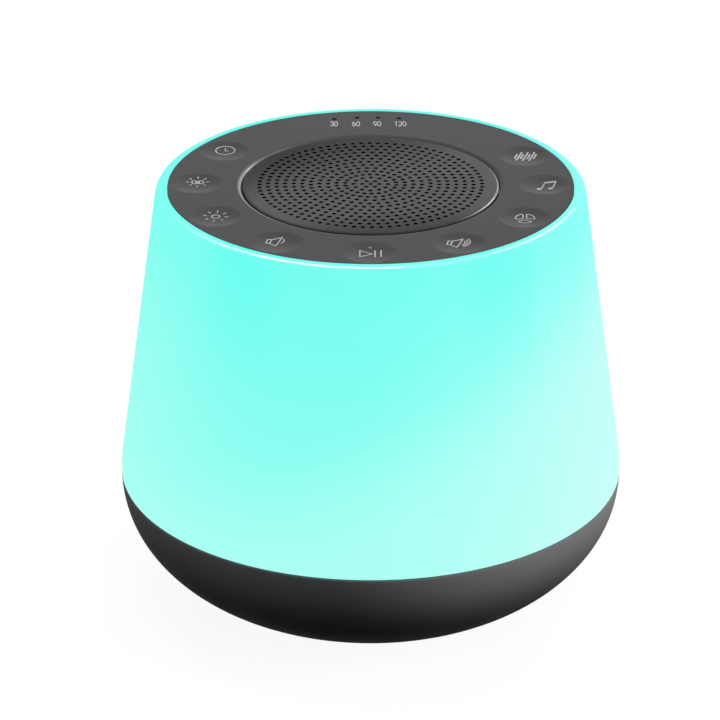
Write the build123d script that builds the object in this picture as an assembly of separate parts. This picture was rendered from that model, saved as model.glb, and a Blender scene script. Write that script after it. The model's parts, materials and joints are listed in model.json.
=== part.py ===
from build123d import *
import os
from math import asin, cos, degrees, radians, sin, tan

# White noise sound machine: a dark bowl, a glowing translucent shade above it, and a dark
# key panel round a speaker grille on top. Millimetres, +Z up, origin under the middle of the
# foot. The front, with the play key, faces -Y, and the power socket faces +Y.

# Outer form
SEAM_R = 56.0  # widest circle, where bowl and shade meet
FOOT_PROUD = 0.8  # foot ring below the bowl
BOWL_DEPTH = 28.2
SHADE_RISE = 67.85  # seam to the shade's top rim
SHADE_LEAN = 8.13  # degrees the shade's wall leans in
BELLY_R = 33.3  # arc that turns the wall upright at the seam
RIM_FILLET = 2.4
SEAM_GAP = 0.3  # shadow line between bowl and shade
SEAM_Z = FOOT_PROUD + BOWL_DEPTH
TOP_Z = SEAM_Z + SHADE_RISE

# Walls and fits
SHADE_WALL = 2.2
BOWL_WALL = 2.4
FIT = 0.2  # between pieces that drop into each other
KEY_FIT = 0.25  # round each key
TOUCH_FREE = 0.4  # round pieces that only pass each other
PAST = 1.0  # how far a cut or a root runs past the face it meets

# Bowl
BOWL_FLOOR_R = 28.1  # flat underside
BOWL_UPRIGHT = 19.6  # handle that keeps the side steep below the seam
BOWL_SWEEP = 6.0  # handle that rounds the side into the flat
BOWL_STEPS = 4  # straight steps of the inside wall
SPIGOT_DEPTH = 2.35
SPIGOT_T = 1.1
FOOT_IN = 1.6  # from the flat's edge to the foot ring
FOOT_W = 4.5
FOOT_SINK = 1.2  # foot ring sunk in its groove

# Screws through the bowl
SCREW_COUNT = 3
SCREW_TURN = 90  # degrees to the first one
SCREW_IN = 5.0  # from the foot ring's bore to the screws
PILLAR_R = 4.2
HEAD_R = 2.75
HEAD_H = 2.0
CROSS_W = 0.7  # driver recess
CROSS_DEPTH = 0.5
SHANK_R = 1.3
HEAD_SEAT_Z = 10.0
SCREW_BITE = 4.5  # thread in the deck's boss
BOSS_CAP = 1.5  # plastic past a screw's tip

# Short screws inside
SMALL_HEAD_R = 2.1
SMALL_HEAD_H = 1.5
SMALL_SHANK_R = 1.0
SMALL_BITE = 4.0

# Main board, power socket and what stands on the board
BOARD_T = 1.6
MAIN_BOARD_IN = 10.0  # from the seam's circle to the board's edge
MAIN_BOARD_Z = 16.0
BOARD_POST_R = 2.6
BOARD_POST_IN = 5.5
BOARD_POST_COUNT = 3
BOARD_POST_TURN = 30
SOCKET_W = 8.9
SOCKET_H = 3.2
SOCKET_L = 8.6
SOCKET_WALL = 0.3
TONGUE_W = 6.7
TONGUE_T = 0.7
TONGUE_SHORT = 1.0  # tongue behind the sleeve's mouth
PORT_SINK = 3.1  # flat floor of the recess round the socket, inside the seam's circle
PORT_W = 13.5
PORT_H = 7.0
PORT_WALL = 1.3
PORT_MARGIN = 1.5  # backing past the recess, all round
PORT_REACH = 3.0  # sleeve's hole, in from the recess
CAN_R = 3.2
CAN_H = 7.0
CHIP_H = 1.2
CHOKE_H = 4.0
CAN_PLACES = ((14.4, 145.3), (12.5, 162.6), (15.6, 332.6))  # in from the edge, and degrees round
CHIPS = (  # in from the edge, degrees round, width, depth and height
    (15.5, 31.6, 9.0, 9.0, CHIP_H),
    (15.5, 203.2, 6.0, 5.0, CHIP_H),
    (14.0, 270.0, 5.0, 4.0, CHIP_H),
    (7.4, 68.7, 7.3, 7.3, CHOKE_H),
)

# Deck at the seam, with the light ring
DECK_T = 2.0
DECK_TOP_Z = SEAM_Z + 0.2
DECK_GAP = 0.6
LIGHT_RING_IN = 3.2
LIGHT_RING_W = 13.0
LED_COUNT = 12
LED_TURN = 15
LED_IN = 4.5
LED_SIZE = 5.0
LED_H = 1.6

# Key panel
RIM_W = 2.25  # shade's rim round the panel, to its corner before the fillet
PANEL_T = 1.6
PANEL_SINK = 0.22  # panel below the shade's rim
PANEL_BAND = 15.9  # from the panel's outer edge to its bore
PANEL_LIP_R = 1.3  # soft edge round the grille
LEDGE_T = 1.6  # shade's ledge under the panel
LEDGE_W = 0.9

# Keys: where each lies round the panel, in degrees from +X towards the back
KEY_ANGLES = {
    "timer": 149.3,
    "colour": 179.7,
    "brightness": 209.2,
    "volume_down": 238.9,
    "play": 269.7,
    "volume_up": 299.5,
    "fan": 329.9,
    "music": 359.4,
    "sounds": 25.6,
}
KEY_R = 5.2
KEY_T = 2.4
KEY_EDGE = 1.2  # from a key to the panel's edge
DISH_R = 4.8
DISH_DEPTH = 0.55
KEY_TRAVEL = 0.4
LUG_W = 3.0
LUG_REACH = 0.8  # past the panel's hole
LUG_T = 0.75
LUG_GAP = 0.2
PAD_W = 3.0  # pad under the key, over the plunger
PAD_H = 0.8

# Switches under the keys
SWITCH_W = 6.0
SWITCH_H = 3.5
PLUNGER_W = 2.4
PLUNGER_PROUD = 0.8
PLUNGER_SUNK = 0.6

# Timer lights at the back of the panel
TIMER_LIGHT_IN = 4.1
TIMER_LIGHT_ANGLES = (102.0, 94.6, 87.7, 80.8)
LIGHT_PIPE_R = 0.5
LIGHT_HOLE_R = 0.58
LIGHT_SINK = 0.3  # pipe's end below the panel's face
LIGHT_CHIP = 1.6
LIGHT_CHIP_H = 0.7
PLAY_LIGHT_R = 0.35
PLAY_LIGHT_IN = 3.2  # from the middle of the play key towards the grille

# Grille: one hole in the middle, then rings of holes
GROOVE_W = 0.4
GRILLE_T = 1.2
GRILLE_SINK = 0.05  # below the panel
GRILLE_EDGE = 1.0
GRILLE_LAP = 1.4  # flange under the panel
GRILLE_MARGIN = 0.8  # from the last holes' circle to the stiff ring
HOLE_RINGS = (6, 12, 22, 28, 30, 36, 44, 48, 54, 60, 66, 72, 80)
HOLE_MARGIN = 3.69  # from the last circle of holes to the grille's edge
HOLE_R = 0.52
HOLE_SIDES = 4
CLOTH_T = 0.3

# Speaker
FLANGE_W = 3.0
SPEAKER_SINK = 4.0  # frame below the top of the grille
STEEL_T = 0.8
GASKET_T = 0.6
ROLL_R = 1.75  # roll of the surround
ROLL_IN = 1.15
ROLL_LAND = 1.2
SOFT_T = 0.4
CONE_GAP = 0.25
CONE_RIM = 1.4
CONE_DEPTH = 7.0
CONE_T = 0.6
CAP_RISE = 2.2
COIL_R = 6.6
FORMER_T = 0.25
WINDING_T = 0.3
COIL_GAP = 0.3
MAGNET_R = 16.0
MAGNET_H = 7.0
POLE_PLATE_T = 3.0
CONE_TRAVEL = 0.8
BASKET_DEPTH = 12.6
BASKET_TAPER = 1.5  # from the flange's bore to the shoulder
BASKET_SLOPE_T = 0.6  # wall of the sloping stretch, along the radius
BASKET_HUB_FREE = 1.0  # round the winding
WINDOW_W = 13.0
WINDOW_TURNS = (45, 135)
PLATE_IN = 1.0  # from the magnet's edge to the pole plate's
MAGNET_FREE = 1.0  # from the plate's bore to the magnet's
SPIDER_R = 14.4
SPIDER_DROP = 9.0
SPIDER_LAND = 1.5
GLUE = 0.02

# Speaker tub and the carrier under the control board
TUB_OUT = 0.5  # past the panel's bore
TUB_WALL = 2.0
TUB_RIM = 2.5
CARRIER_T = 1.6
CARRIER_GAP = 0.6
CARRIER_RIM = 1.6
BOARD_GAP = 0.9
PANEL_BOSS_R = 2.2
PANEL_BOSS_IN = 2.1
PANEL_BOSS_ANGLES = (52.0, 126.0, 224.0, 314.7)
TUB_EAR_R = 3.6
TUB_EAR_OUT = 2.2
TUB_EAR_COUNT = 3
TUB_EAR_TURN = 30
SEAT_LIP = 1.5  # depth of the lip that the speaker sits on

# Ribbon cable between the two boards
RIBBON_W = 12.0
RIBBON_T = 0.3
RIBBON_OUT = 5.8  # from the tub's wall
RIBBON_FREE = 1.0  # round it in the deck's slot
RIBBON_SOCKET_W = 15.0
RIBBON_SOCKET_D = 2.6
RIBBON_SOCKET_H = 3.0


def wall_radius(z):
    """Outer radius of the shade's leaning wall at height z, above the belly arc."""
    lean = radians(SHADE_LEAN)
    arc_top = BELLY_R * sin(lean)
    return SEAM_R - BELLY_R * (1 - cos(lean)) - (z - SEAM_Z - arc_top) * tan(lean)


# Levels that follow from the sizes above
PANEL_TOP = TOP_Z - PANEL_SINK
PANEL_UNDER = PANEL_TOP - PANEL_T
LEDGE_UNDER = PANEL_UNDER - LEDGE_T
GRILLE_TOP = PANEL_TOP - GRILLE_SINK
KEY_BOTTOM = PANEL_TOP - KEY_T
PAD_BOTTOM = KEY_BOTTOM - PAD_H
SWITCH_TOP = PAD_BOTTOM - PLUNGER_PROUD
CONTROL_BOARD_TOP = SWITCH_TOP - SWITCH_H
CARRIER_TOP = CONTROL_BOARD_TOP - BOARD_T
SPEAKER_TOP = GRILLE_TOP - SPEAKER_SINK
SPEAKER_SEAT = SPEAKER_TOP - STEEL_T - GASKET_T
TUB_TOP = LEDGE_UNDER
DECK_UNDER = DECK_TOP_Z - DECK_T
LIGHT_RING_TOP = DECK_TOP_Z + BOARD_T
MAIN_BOARD_TOP = MAIN_BOARD_Z + BOARD_T
SOCKET_Z = MAIN_BOARD_TOP + SOCKET_H / 2
SPIDER_Z = SPEAKER_TOP - SPIDER_DROP
POLE_PLATE_TOP = SPEAKER_TOP - BASKET_DEPTH
MAGNET_TOP = POLE_PLATE_TOP - POLE_PLATE_T
YOKE_TOP = MAGNET_TOP - MAGNET_H
COIL_LOW = MAGNET_TOP - CONE_TRAVEL - FIT
WINDING_TOP = POLE_PLATE_TOP + CONE_TRAVEL + FIT

# Radii that follow
FOOT_R = BOWL_FLOOR_R - FOOT_IN
SCREW_CIRCLE_R = FOOT_R - FOOT_W - SCREW_IN
MAIN_BOARD_R = SEAM_R - MAIN_BOARD_IN
PORT_Y = SEAM_R - PORT_SINK
DECK_R = SEAM_R - SHADE_WALL - DECK_GAP
LIGHT_RING_R = DECK_R - LIGHT_RING_IN
PANEL_R = wall_radius(TOP_Z) - RIM_W - FIT
PANEL_BORE = PANEL_R - PANEL_BAND
KEY_CIRCLE_R = PANEL_R - KEY_EDGE - KEY_R
CARRIER_R = wall_radius(LEDGE_UNDER) - SHADE_WALL - CARRIER_GAP
CONTROL_BOARD_R = CARRIER_R - CARRIER_RIM - BOARD_GAP
GRILLE_R = PANEL_BORE - GROOVE_W
HOLE_PITCH = (GRILLE_R - HOLE_MARGIN) / len(HOLE_RINGS)
GRILLE_RING_R = GRILLE_R - HOLE_MARGIN + GRILLE_MARGIN
TUB_R = PANEL_BORE + TUB_OUT
RIBBON_Y = TUB_R + RIBBON_OUT
SPEAKER_R = TUB_R - TUB_RIM - FIT
BASKET_R = SPEAKER_R - FLANGE_W
ROLL_MID_R = BASKET_R - ROLL_R - ROLL_IN
CONE_R = ROLL_MID_R - ROLL_R - CONE_GAP
COIL_TOP_R = COIL_R + FORMER_T
POLE_R = COIL_R - COIL_GAP
GAP_R = COIL_TOP_R + WINDING_T + COIL_GAP

PIECES = {}


def keep(name, shape):
    """Books a finished piece under its own name."""
    PIECES[name] = shape
    return shape


def turned(*outline):
    """Solid turned about Z. The outline is corners (radius, height), or lines and curves."""
    if isinstance(outline[0], tuple):
        outline = [Polyline(*outline, close=True)]
    return revolve(Plane.XZ * make_face(Curve() + list(outline)), Axis.Z)


def washer(outer_r, inner_r, bottom, top):
    return turned((inner_r, bottom), (outer_r, bottom), (outer_r, top), (inner_r, top))


def rod(radius, bottom, top):
    return Pos(0, 0, bottom) * Cylinder(
        radius, top - bottom, align=(Align.CENTER, Align.CENTER, Align.MIN)
    )


def block(width, depth, bottom, top):
    return Pos(0, 0, bottom) * Box(
        width, depth, top - bottom, align=(Align.CENTER, Align.CENTER, Align.MIN)
    )


def at_polar(radius, angle):
    """Place on a circle about Z, turned so that local +X points outward."""
    return Rot(0, 0, angle) * Pos(radius, 0, 0)


def round_circle(count, radius, start=0.0):
    return [at_polar(radius, start + 360.0 * i / count) for i in range(count)]


def separate(shapes):
    """Several solids in one node."""
    return Compound(children=[s for shape in shapes for s in shape.solids()])


# ---------------------------------------------------------------- outer skins


def belly(start_z):
    """Arc of the wall from just above the seam to where the lean begins."""
    first = degrees(asin((start_z - SEAM_Z) / BELLY_R))
    return CenterArc((SEAM_R - BELLY_R, SEAM_Z), BELLY_R, first, SHADE_LEAN - first)


def make_shade():
    """Translucent shade: leaning wall, ledge for the panel at the top, spigot at the bottom."""
    low = SEAM_Z + SEAM_GAP / 2
    outer = belly(low)
    inner_r = SEAM_R - SHADE_WALL
    rebate_r = PANEL_R + FIT
    rest = Polyline(
        outer @ 0,
        (inner_r + SPIGOT_T, low),
        (inner_r + SPIGOT_T, SEAM_Z - SPIGOT_DEPTH),
        (inner_r, SEAM_Z - SPIGOT_DEPTH),
        (inner_r, low),
        (wall_radius(LEDGE_UNDER) - SHADE_WALL, LEDGE_UNDER),
        (rebate_r - LEDGE_W, LEDGE_UNDER),
        (rebate_r - LEDGE_W, PANEL_UNDER),
        (rebate_r, PANEL_UNDER),
        (rebate_r, TOP_Z),
        (wall_radius(TOP_Z), TOP_Z),
        outer @ 1,
    )
    face = make_face(Curve() + [outer, rest])
    corner = face.vertices().sort_by_distance((wall_radius(TOP_Z), TOP_Z))[0]
    return revolve(Plane.XZ * fillet(corner, RIM_FILLET), Axis.Z)


def bowl_curve(inset):
    """Side of the bowl from the seam down to its flat."""
    floor = FOOT_PROUD + inset
    floor_r = BOWL_FLOOR_R - inset / 2
    return Bezier(
        (SEAM_R - inset, SEAM_Z),
        (SEAM_R - inset, SEAM_Z - BOWL_UPRIGHT + inset / 2),
        (floor_r + BOWL_SWEEP, floor),
        (floor_r, floor),
    )


def make_bowl():
    """Dark bowl: thin wall, rim rebate for the shade, foot groove, pillars and the socket's recess."""
    outer = bowl_curve(0.0)
    inner_curve = bowl_curve(BOWL_WALL)
    inner = Polyline(*[inner_curve @ (i / BOWL_STEPS) for i in range(BOWL_STEPS + 1)])
    rim = SEAM_Z - SEAM_GAP / 2
    spigot_r = SEAM_R - SHADE_WALL + SPIGOT_T + FIT
    solid = turned(
        outer,
        Line(outer @ 0, inner @ 0),
        inner,
        Polyline(inner @ 1, (0, FOOT_PROUD + BOWL_WALL), (0, FOOT_PROUD), outer @ 1),
    )
    solid -= washer(SEAM_R + PAST, spigot_r, rim, SEAM_Z + PAST)
    solid -= rod(spigot_r, SEAM_Z - SPIGOT_DEPTH, SEAM_Z + PAST)
    solid -= washer(FOOT_R + FIT / 2, FOOT_R - FOOT_W - FIT / 2, 0, FOOT_PROUD + FOOT_SINK)

    pillars = [p * rod(PILLAR_R, FOOT_PROUD + PAST, DECK_UNDER) for p in SCREW_PLACES]
    posts = [p * rod(BOARD_POST_R, FOOT_PROUD + PAST, MAIN_BOARD_Z) for p in BOARD_POST_PLACES]
    filled = turned(outer, Polyline(outer @ 0, (0, SEAM_Z), (0, FOOT_PROUD), outer @ 1))
    solid += [piece & filled for piece in pillars + posts]
    solid -= [p * rod(SMALL_SHANK_R, MAIN_BOARD_Z - SMALL_BITE, SEAM_Z) for p in BOARD_POST_PLACES]
    solid -= [p * rod(HEAD_R + FIT, 0, HEAD_SEAT_Z) for p in SCREW_PLACES]
    solid -= [p * rod(SHANK_R + FIT, 0, SEAM_Z) for p in SCREW_PLACES]

    backing = Box(PORT_W + 2 * PORT_MARGIN, PORT_WALL, PORT_H + 2 * PORT_MARGIN)
    backing = Pos(0, PORT_Y - PORT_WALL / 2, SOCKET_Z) * backing
    solid += backing & filled - rod(spigot_r, SEAM_Z - SPIGOT_DEPTH, SEAM_Z + PAST)
    solid -= port_cut(PORT_W, PORT_H, PORT_Y, SEAM_R + PAST)
    solid -= port_cut(SOCKET_W + FIT * 2, SOCKET_H + FIT * 2, PORT_Y - PORT_REACH, SEAM_R)
    return solid


def port_cut(width, height, from_y, to_y):
    """Round-ended slot along Y, level with the power socket."""
    slot = SlotOverall(width, height)
    return extrude(Plane.XZ * Pos(0, SOCKET_Z) * slot, -(to_y - from_y)).moved(
        Location((0, from_y, 0))
    )


SCREW_PLACES = round_circle(SCREW_COUNT, SCREW_CIRCLE_R, SCREW_TURN)
BOARD_POST_PLACES = round_circle(BOARD_POST_COUNT, MAIN_BOARD_R - BOARD_POST_IN, BOARD_POST_TURN)
EAR_PLACES = round_circle(TUB_EAR_COUNT, TUB_R + TUB_EAR_OUT, TUB_EAR_TURN)
BOSS_PLACES = [at_polar(PANEL_BORE + PANEL_BOSS_R + PANEL_BOSS_IN, a) for a in PANEL_BOSS_ANGLES]
bowl = keep("base_shell", make_bowl())
shade = keep("shade", make_shade())
keep("foot_ring", washer(FOOT_R, FOOT_R - FOOT_W, 0, FOOT_PROUD + FOOT_SINK))


# ---------------------------------------------------------------- inside the bowl


def make_screw():
    """Pan-head screw standing head down, with its driver recess."""
    head = rod(HEAD_R, HEAD_SEAT_Z - HEAD_H, HEAD_SEAT_Z)
    shank = rod(SHANK_R, HEAD_SEAT_Z, DECK_UNDER + SCREW_BITE)
    span, depth = HEAD_R * 1.2, 2 * CROSS_DEPTH
    cross = Box(span, CROSS_W, depth) + Box(CROSS_W, span, depth)
    return head + shank - Pos(0, 0, HEAD_SEAT_Z - HEAD_H) * cross


keep("base_screws", separate([p * make_screw() for p in SCREW_PLACES]))

board = rod(MAIN_BOARD_R, MAIN_BOARD_Z, MAIN_BOARD_TOP)
board -= [p * rod(PILLAR_R + TOUCH_FREE, 0, TOP_Z) for p in SCREW_PLACES]
board -= [p * rod(SMALL_SHANK_R, 0, TOP_Z) for p in BOARD_POST_PLACES]
keep("main_board", board)


def make_power_socket():
    """Round-ended metal sleeve of the socket, open to the back."""
    tube = SlotOverall(SOCKET_W, SOCKET_H) - SlotOverall(
        SOCKET_W - 2 * SOCKET_WALL, SOCKET_H - 2 * SOCKET_WALL
    )
    sleeve = extrude(Plane.XZ * Pos(0, SOCKET_Z) * tube, SOCKET_L)
    end = extrude(
        Plane.XZ * Pos(0, SOCKET_Z) * SlotOverall(SOCKET_W, SOCKET_H), SOCKET_WALL
    )
    return sleeve.moved(Location((0, PORT_Y, 0))) + end.moved(
        Location((0, PORT_Y - SOCKET_L + SOCKET_WALL, 0))
    )


keep("power_socket", make_power_socket())
tongue_l = SOCKET_L - SOCKET_WALL - TONGUE_SHORT
tongue_y = PORT_Y - SOCKET_L + SOCKET_WALL + tongue_l / 2
keep("power_tongue", Pos(0, tongue_y, SOCKET_Z) * Box(TONGUE_W, tongue_l, TONGUE_T))


def on_board(inset, angle):
    """Place on the main board, square with its other parts."""
    radius = MAIN_BOARD_R - inset
    return Pos(radius * cos(radians(angle)), radius * sin(radians(angle)), 0)


can = rod(CAN_R, MAIN_BOARD_TOP, MAIN_BOARD_TOP + CAN_H)
keep("capacitors", separate([on_board(*place) * can for place in CAN_PLACES]))
chips = [
    on_board(inset, angle) * block(width, depth, MAIN_BOARD_TOP, MAIN_BOARD_TOP + height)
    for inset, angle, width, depth, height in CHIPS
]
keep("board_chips", separate(chips))


# ---------------------------------------------------------------- deck and light ring


def make_deck():
    """White deck at the seam: closes the tub from below and carries the light ring."""
    deck = rod(DECK_R, DECK_UNDER, DECK_TOP_Z)
    boss_top = DECK_UNDER + SCREW_BITE + BOSS_CAP
    deck += [p * rod(PILLAR_R, DECK_TOP_Z, boss_top) for p in SCREW_PLACES]
    deck -= [p * rod(SHANK_R, 0, DECK_UNDER + SCREW_BITE) for p in SCREW_PLACES]
    deck -= [p * rod(SMALL_SHANK_R, 0, TOP_Z) for p in EAR_PLACES]
    deck -= Pos(0, RIBBON_Y, 0) * block(RIBBON_W + 2 * RIBBON_FREE, RIBBON_T + 2 * RIBBON_FREE, 0, TOP_Z)
    return deck


keep("deck", make_deck())
keep("light_ring", washer(LIGHT_RING_R, LIGHT_RING_R - LIGHT_RING_W, DECK_TOP_Z, LIGHT_RING_TOP))
led = block(LED_SIZE, LED_SIZE, LIGHT_RING_TOP, LIGHT_RING_TOP + LED_H)
keep("leds", separate([p * led for p in round_circle(LED_COUNT, LIGHT_RING_R - LED_IN, LED_TURN)]))


# ---------------------------------------------------------------- tub, carrier and boards


def make_tub():
    """Speaker tub with the carrier of the control board round its top, in one moulding."""
    seat_r = SPEAKER_R + FIT
    inner = TUB_R - TUB_WALL
    tub = turned(
        (inner, DECK_TOP_Z),
        (TUB_R, DECK_TOP_Z),
        (TUB_R, CARRIER_TOP - CARRIER_T),
        (CARRIER_R, CARRIER_TOP - CARRIER_T),
        (CARRIER_R, LEDGE_UNDER),
        (CARRIER_R - CARRIER_RIM, LEDGE_UNDER),
        (CARRIER_R - CARRIER_RIM, CARRIER_TOP),
        (TUB_R, CARRIER_TOP),
        (TUB_R, TUB_TOP),
        (seat_r, TUB_TOP),
        (seat_r, SPEAKER_SEAT),
        (BASKET_R + TOUCH_FREE, SPEAKER_SEAT),
        (BASKET_R + TOUCH_FREE, SPEAKER_SEAT - SEAT_LIP),
        (inner, SPEAKER_SEAT - SEAT_LIP - (inner - BASKET_R - TOUCH_FREE)),
    )
    ear_top = DECK_UNDER + DECK_T + SMALL_BITE + BOSS_CAP
    ears = [p * rod(TUB_EAR_R, DECK_TOP_Z, ear_top) for p in EAR_PLACES]
    tub += [ear - rod(TUB_R - TUB_WALL / 2, 0, TOP_Z) for ear in ears]
    tub -= [p * rod(SMALL_SHANK_R, 0, DECK_TOP_Z + SMALL_BITE) for p in EAR_PLACES]
    tub -= [p * rod(SMALL_SHANK_R, 0, TOP_Z) for p in BOSS_PLACES]
    slot_w = RIBBON_SOCKET_W + 2 * TOUCH_FREE
    slot_d = RIBBON_SOCKET_D + 2 * TOUCH_FREE
    return tub - Pos(0, RIBBON_Y, 0) * block(slot_w, slot_d, CARRIER_TOP - CARRIER_T, CARRIER_TOP)


keep("speaker_tub", make_tub())

board = washer(CONTROL_BOARD_R, TUB_R + FIT, CARRIER_TOP, CONTROL_BOARD_TOP)
board -= [p * rod(SMALL_SHANK_R, 0, TOP_Z) for p in BOSS_PLACES]
keep("control_board", board)


def make_small_screw(seat, tip):
    """Short pan-head screw from its seat to its tip, pointing either way."""
    way = 1 if tip > seat else -1
    head = rod(SMALL_HEAD_R, *sorted((seat, seat - way * SMALL_HEAD_H)))
    return head + rod(SMALL_SHANK_R, *sorted((seat, tip)))


board_screw = make_small_screw(MAIN_BOARD_TOP, MAIN_BOARD_Z - SMALL_BITE)
ear_screw = make_small_screw(DECK_UNDER, DECK_TOP_Z + SMALL_BITE)
panel_screw = make_small_screw(CARRIER_TOP - CARRIER_T, CONTROL_BOARD_TOP + SMALL_BITE)
keep(
    "small_screws",
    separate(
        [p * board_screw for p in BOARD_POST_PLACES]
        + [p * ear_screw for p in EAR_PLACES]
        + [p * panel_screw for p in BOSS_PLACES]
    ),
)

lower_socket = (MAIN_BOARD_TOP, MAIN_BOARD_TOP + RIBBON_SOCKET_H)
upper_socket = (CARRIER_TOP - RIBBON_SOCKET_H, CARRIER_TOP)
sockets = [
    Pos(0, RIBBON_Y, 0) * block(RIBBON_SOCKET_W, RIBBON_SOCKET_D, low, high)
    for low, high in (lower_socket, upper_socket)
]
keep("ribbon_sockets", separate(sockets))
keep(
    "ribbon_cable",
    Pos(0, RIBBON_Y, 0) * block(RIBBON_W, RIBBON_T, lower_socket[1], upper_socket[0]),
)


# ---------------------------------------------------------------- speaker


def make_basket():
    """Pressed steel frame: flange, sloping side with four windows, shoulder and bottom ring."""
    top, seat = SPEAKER_TOP, SPEAKER_TOP - STEEL_T
    bottom = SPEAKER_TOP - BASKET_DEPTH
    shoulder = SPIDER_Z
    hub = COIL_TOP_R + WINDING_T + BASKET_HUB_FREE
    step_r = BASKET_R - BASKET_TAPER
    well_r = SPIDER_R - SPIDER_LAND
    basket = turned(
        (BASKET_R - STEEL_T, top),
        (SPEAKER_R, top),
        (SPEAKER_R, seat),
        (BASKET_R, seat),
        (step_r, shoulder - STEEL_T),
        (well_r, shoulder - STEEL_T),
        (well_r - SPIDER_LAND, bottom),
        (hub, bottom),
        (hub, bottom + STEEL_T),
        (well_r - SPIDER_LAND - BASKET_SLOPE_T, bottom + STEEL_T),
        (well_r - BASKET_SLOPE_T, shoulder),
        (step_r - STEEL_T, shoulder),
    )
    window_h = seat - shoulder - 2 * PAST
    window = Pos(0, 0, (seat + shoulder) / 2) * Box(2 * SPEAKER_R, WINDOW_W, window_h)
    return basket - [Rot(0, 0, a) * window for a in WINDOW_TURNS]


def make_cone():
    """Paper cone from the surround down to the voice coil's former."""
    top = SPEAKER_TOP
    return turned(
        (COIL_TOP_R, top - CONE_DEPTH - CONE_T),
        (CONE_R - CONE_RIM, top - SOFT_T),
        (CONE_R, top - SOFT_T),
        (CONE_R, top),
        (CONE_R - CONE_RIM, top),
        (COIL_TOP_R, top - CONE_DEPTH),
    )


def make_surround():
    """Rubber roll between the cone's rim and the frame, with a flat land on each."""
    low, high = ROLL_MID_R - ROLL_R, ROLL_MID_R + ROLL_R
    shoulder = ROLL_R * 0.5
    crown = SPEAKER_TOP + ROLL_R
    return turned(
        (low - ROLL_LAND, SPEAKER_TOP),
        (low, SPEAKER_TOP),
        (ROLL_MID_R - shoulder, crown - SOFT_T),
        (ROLL_MID_R + shoulder, crown - SOFT_T),
        (high, SPEAKER_TOP),
        (high + ROLL_LAND, SPEAKER_TOP),
        (high + ROLL_LAND, SPEAKER_TOP + SOFT_T),
        (high + SOFT_T / 2, SPEAKER_TOP + SOFT_T),
        (ROLL_MID_R + shoulder, crown),
        (ROLL_MID_R - shoulder, crown),
        (low - SOFT_T / 2, SPEAKER_TOP + SOFT_T),
        (low - ROLL_LAND, SPEAKER_TOP + SOFT_T),
    )


keep("speaker_gasket", washer(SPEAKER_R, BASKET_R + TOUCH_FREE, SPEAKER_SEAT, SPEAKER_SEAT + GASKET_T))
keep("speaker_basket", make_basket())
plate_r = MAGNET_R - PLATE_IN
keep("pole_plate", washer(plate_r, GAP_R, MAGNET_TOP, POLE_PLATE_TOP))
keep("magnet", washer(MAGNET_R, GAP_R + MAGNET_FREE, YOKE_TOP, MAGNET_TOP))
keep("yoke", rod(plate_r, YOKE_TOP - POLE_PLATE_T, YOKE_TOP) + rod(POLE_R, YOKE_TOP, POLE_PLATE_TOP))
keep("speaker_cone", make_cone())
keep("surround", make_surround())
keep(
    "voice_coil",
    washer(COIL_TOP_R, COIL_R, COIL_LOW, SPEAKER_TOP - CONE_DEPTH)
    + washer(COIL_TOP_R + WINDING_T, COIL_TOP_R, COIL_LOW, WINDING_TOP),
)
keep("spider", washer(SPIDER_R, COIL_TOP_R + GLUE, SPIDER_Z, SPIDER_Z + SOFT_T))


def make_dust_cap():
    """Shallow dome over the voice coil."""
    low = SPEAKER_TOP - CONE_DEPTH
    return turned(
        (COIL_R, low),
        (COIL_TOP_R, low),
        (COIL_R * 0.6, low + CAP_RISE * 0.7),
        (0, low + CAP_RISE),
        (0, low + CAP_RISE - SOFT_T),
        (COIL_R * 0.6 - SOFT_T / 2, low + CAP_RISE * 0.7 - SOFT_T),
    )


keep("dust_cap", make_dust_cap())


# ---------------------------------------------------------------- grille


def grille_holes():
    """Centres of the round holes: one in the middle and HOLE_RINGS round it."""
    places = [Pos(0, 0, 0)]
    for ring, count in enumerate(HOLE_RINGS, start=1):
        places += round_circle(count, ring * HOLE_PITCH)
    return places


def make_grille():
    """Perforated plate in a stiff ring with a rounded edge and a flange under the panel."""
    top, under = GRILLE_TOP, GRILLE_TOP - GRILLE_T
    soft = CenterArc((GRILLE_R - GRILLE_EDGE, top - GRILLE_EDGE), GRILLE_EDGE, 0, 90)
    rest = Polyline(
        soft @ 0,
        (GRILLE_R, PANEL_UNDER),
        (PANEL_BORE + GRILLE_LAP, PANEL_UNDER),
        (PANEL_BORE + GRILLE_LAP, TUB_TOP),
        (SPEAKER_R, TUB_TOP),
        (SPEAKER_R, SPEAKER_TOP),
        (GRILLE_RING_R, SPEAKER_TOP),
        (GRILLE_RING_R, top),
        soft @ 1,
    )
    holes = [p * RegularPolygon(HOLE_R, HOLE_SIDES).wire() for p in grille_holes()]
    plate = Face(Wire.make_circle(GRILLE_RING_R), inner_wires=holes)
    return turned(soft, rest) + extrude(Pos(0, 0, under) * plate, GRILLE_T)


keep("grille", make_grille())
keep("dust_cloth", rod(GRILLE_RING_R - FIT, GRILLE_TOP - GRILLE_T - CLOTH_T, GRILLE_TOP - GRILLE_T))


# ---------------------------------------------------------------- panel, keys and switches


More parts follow.
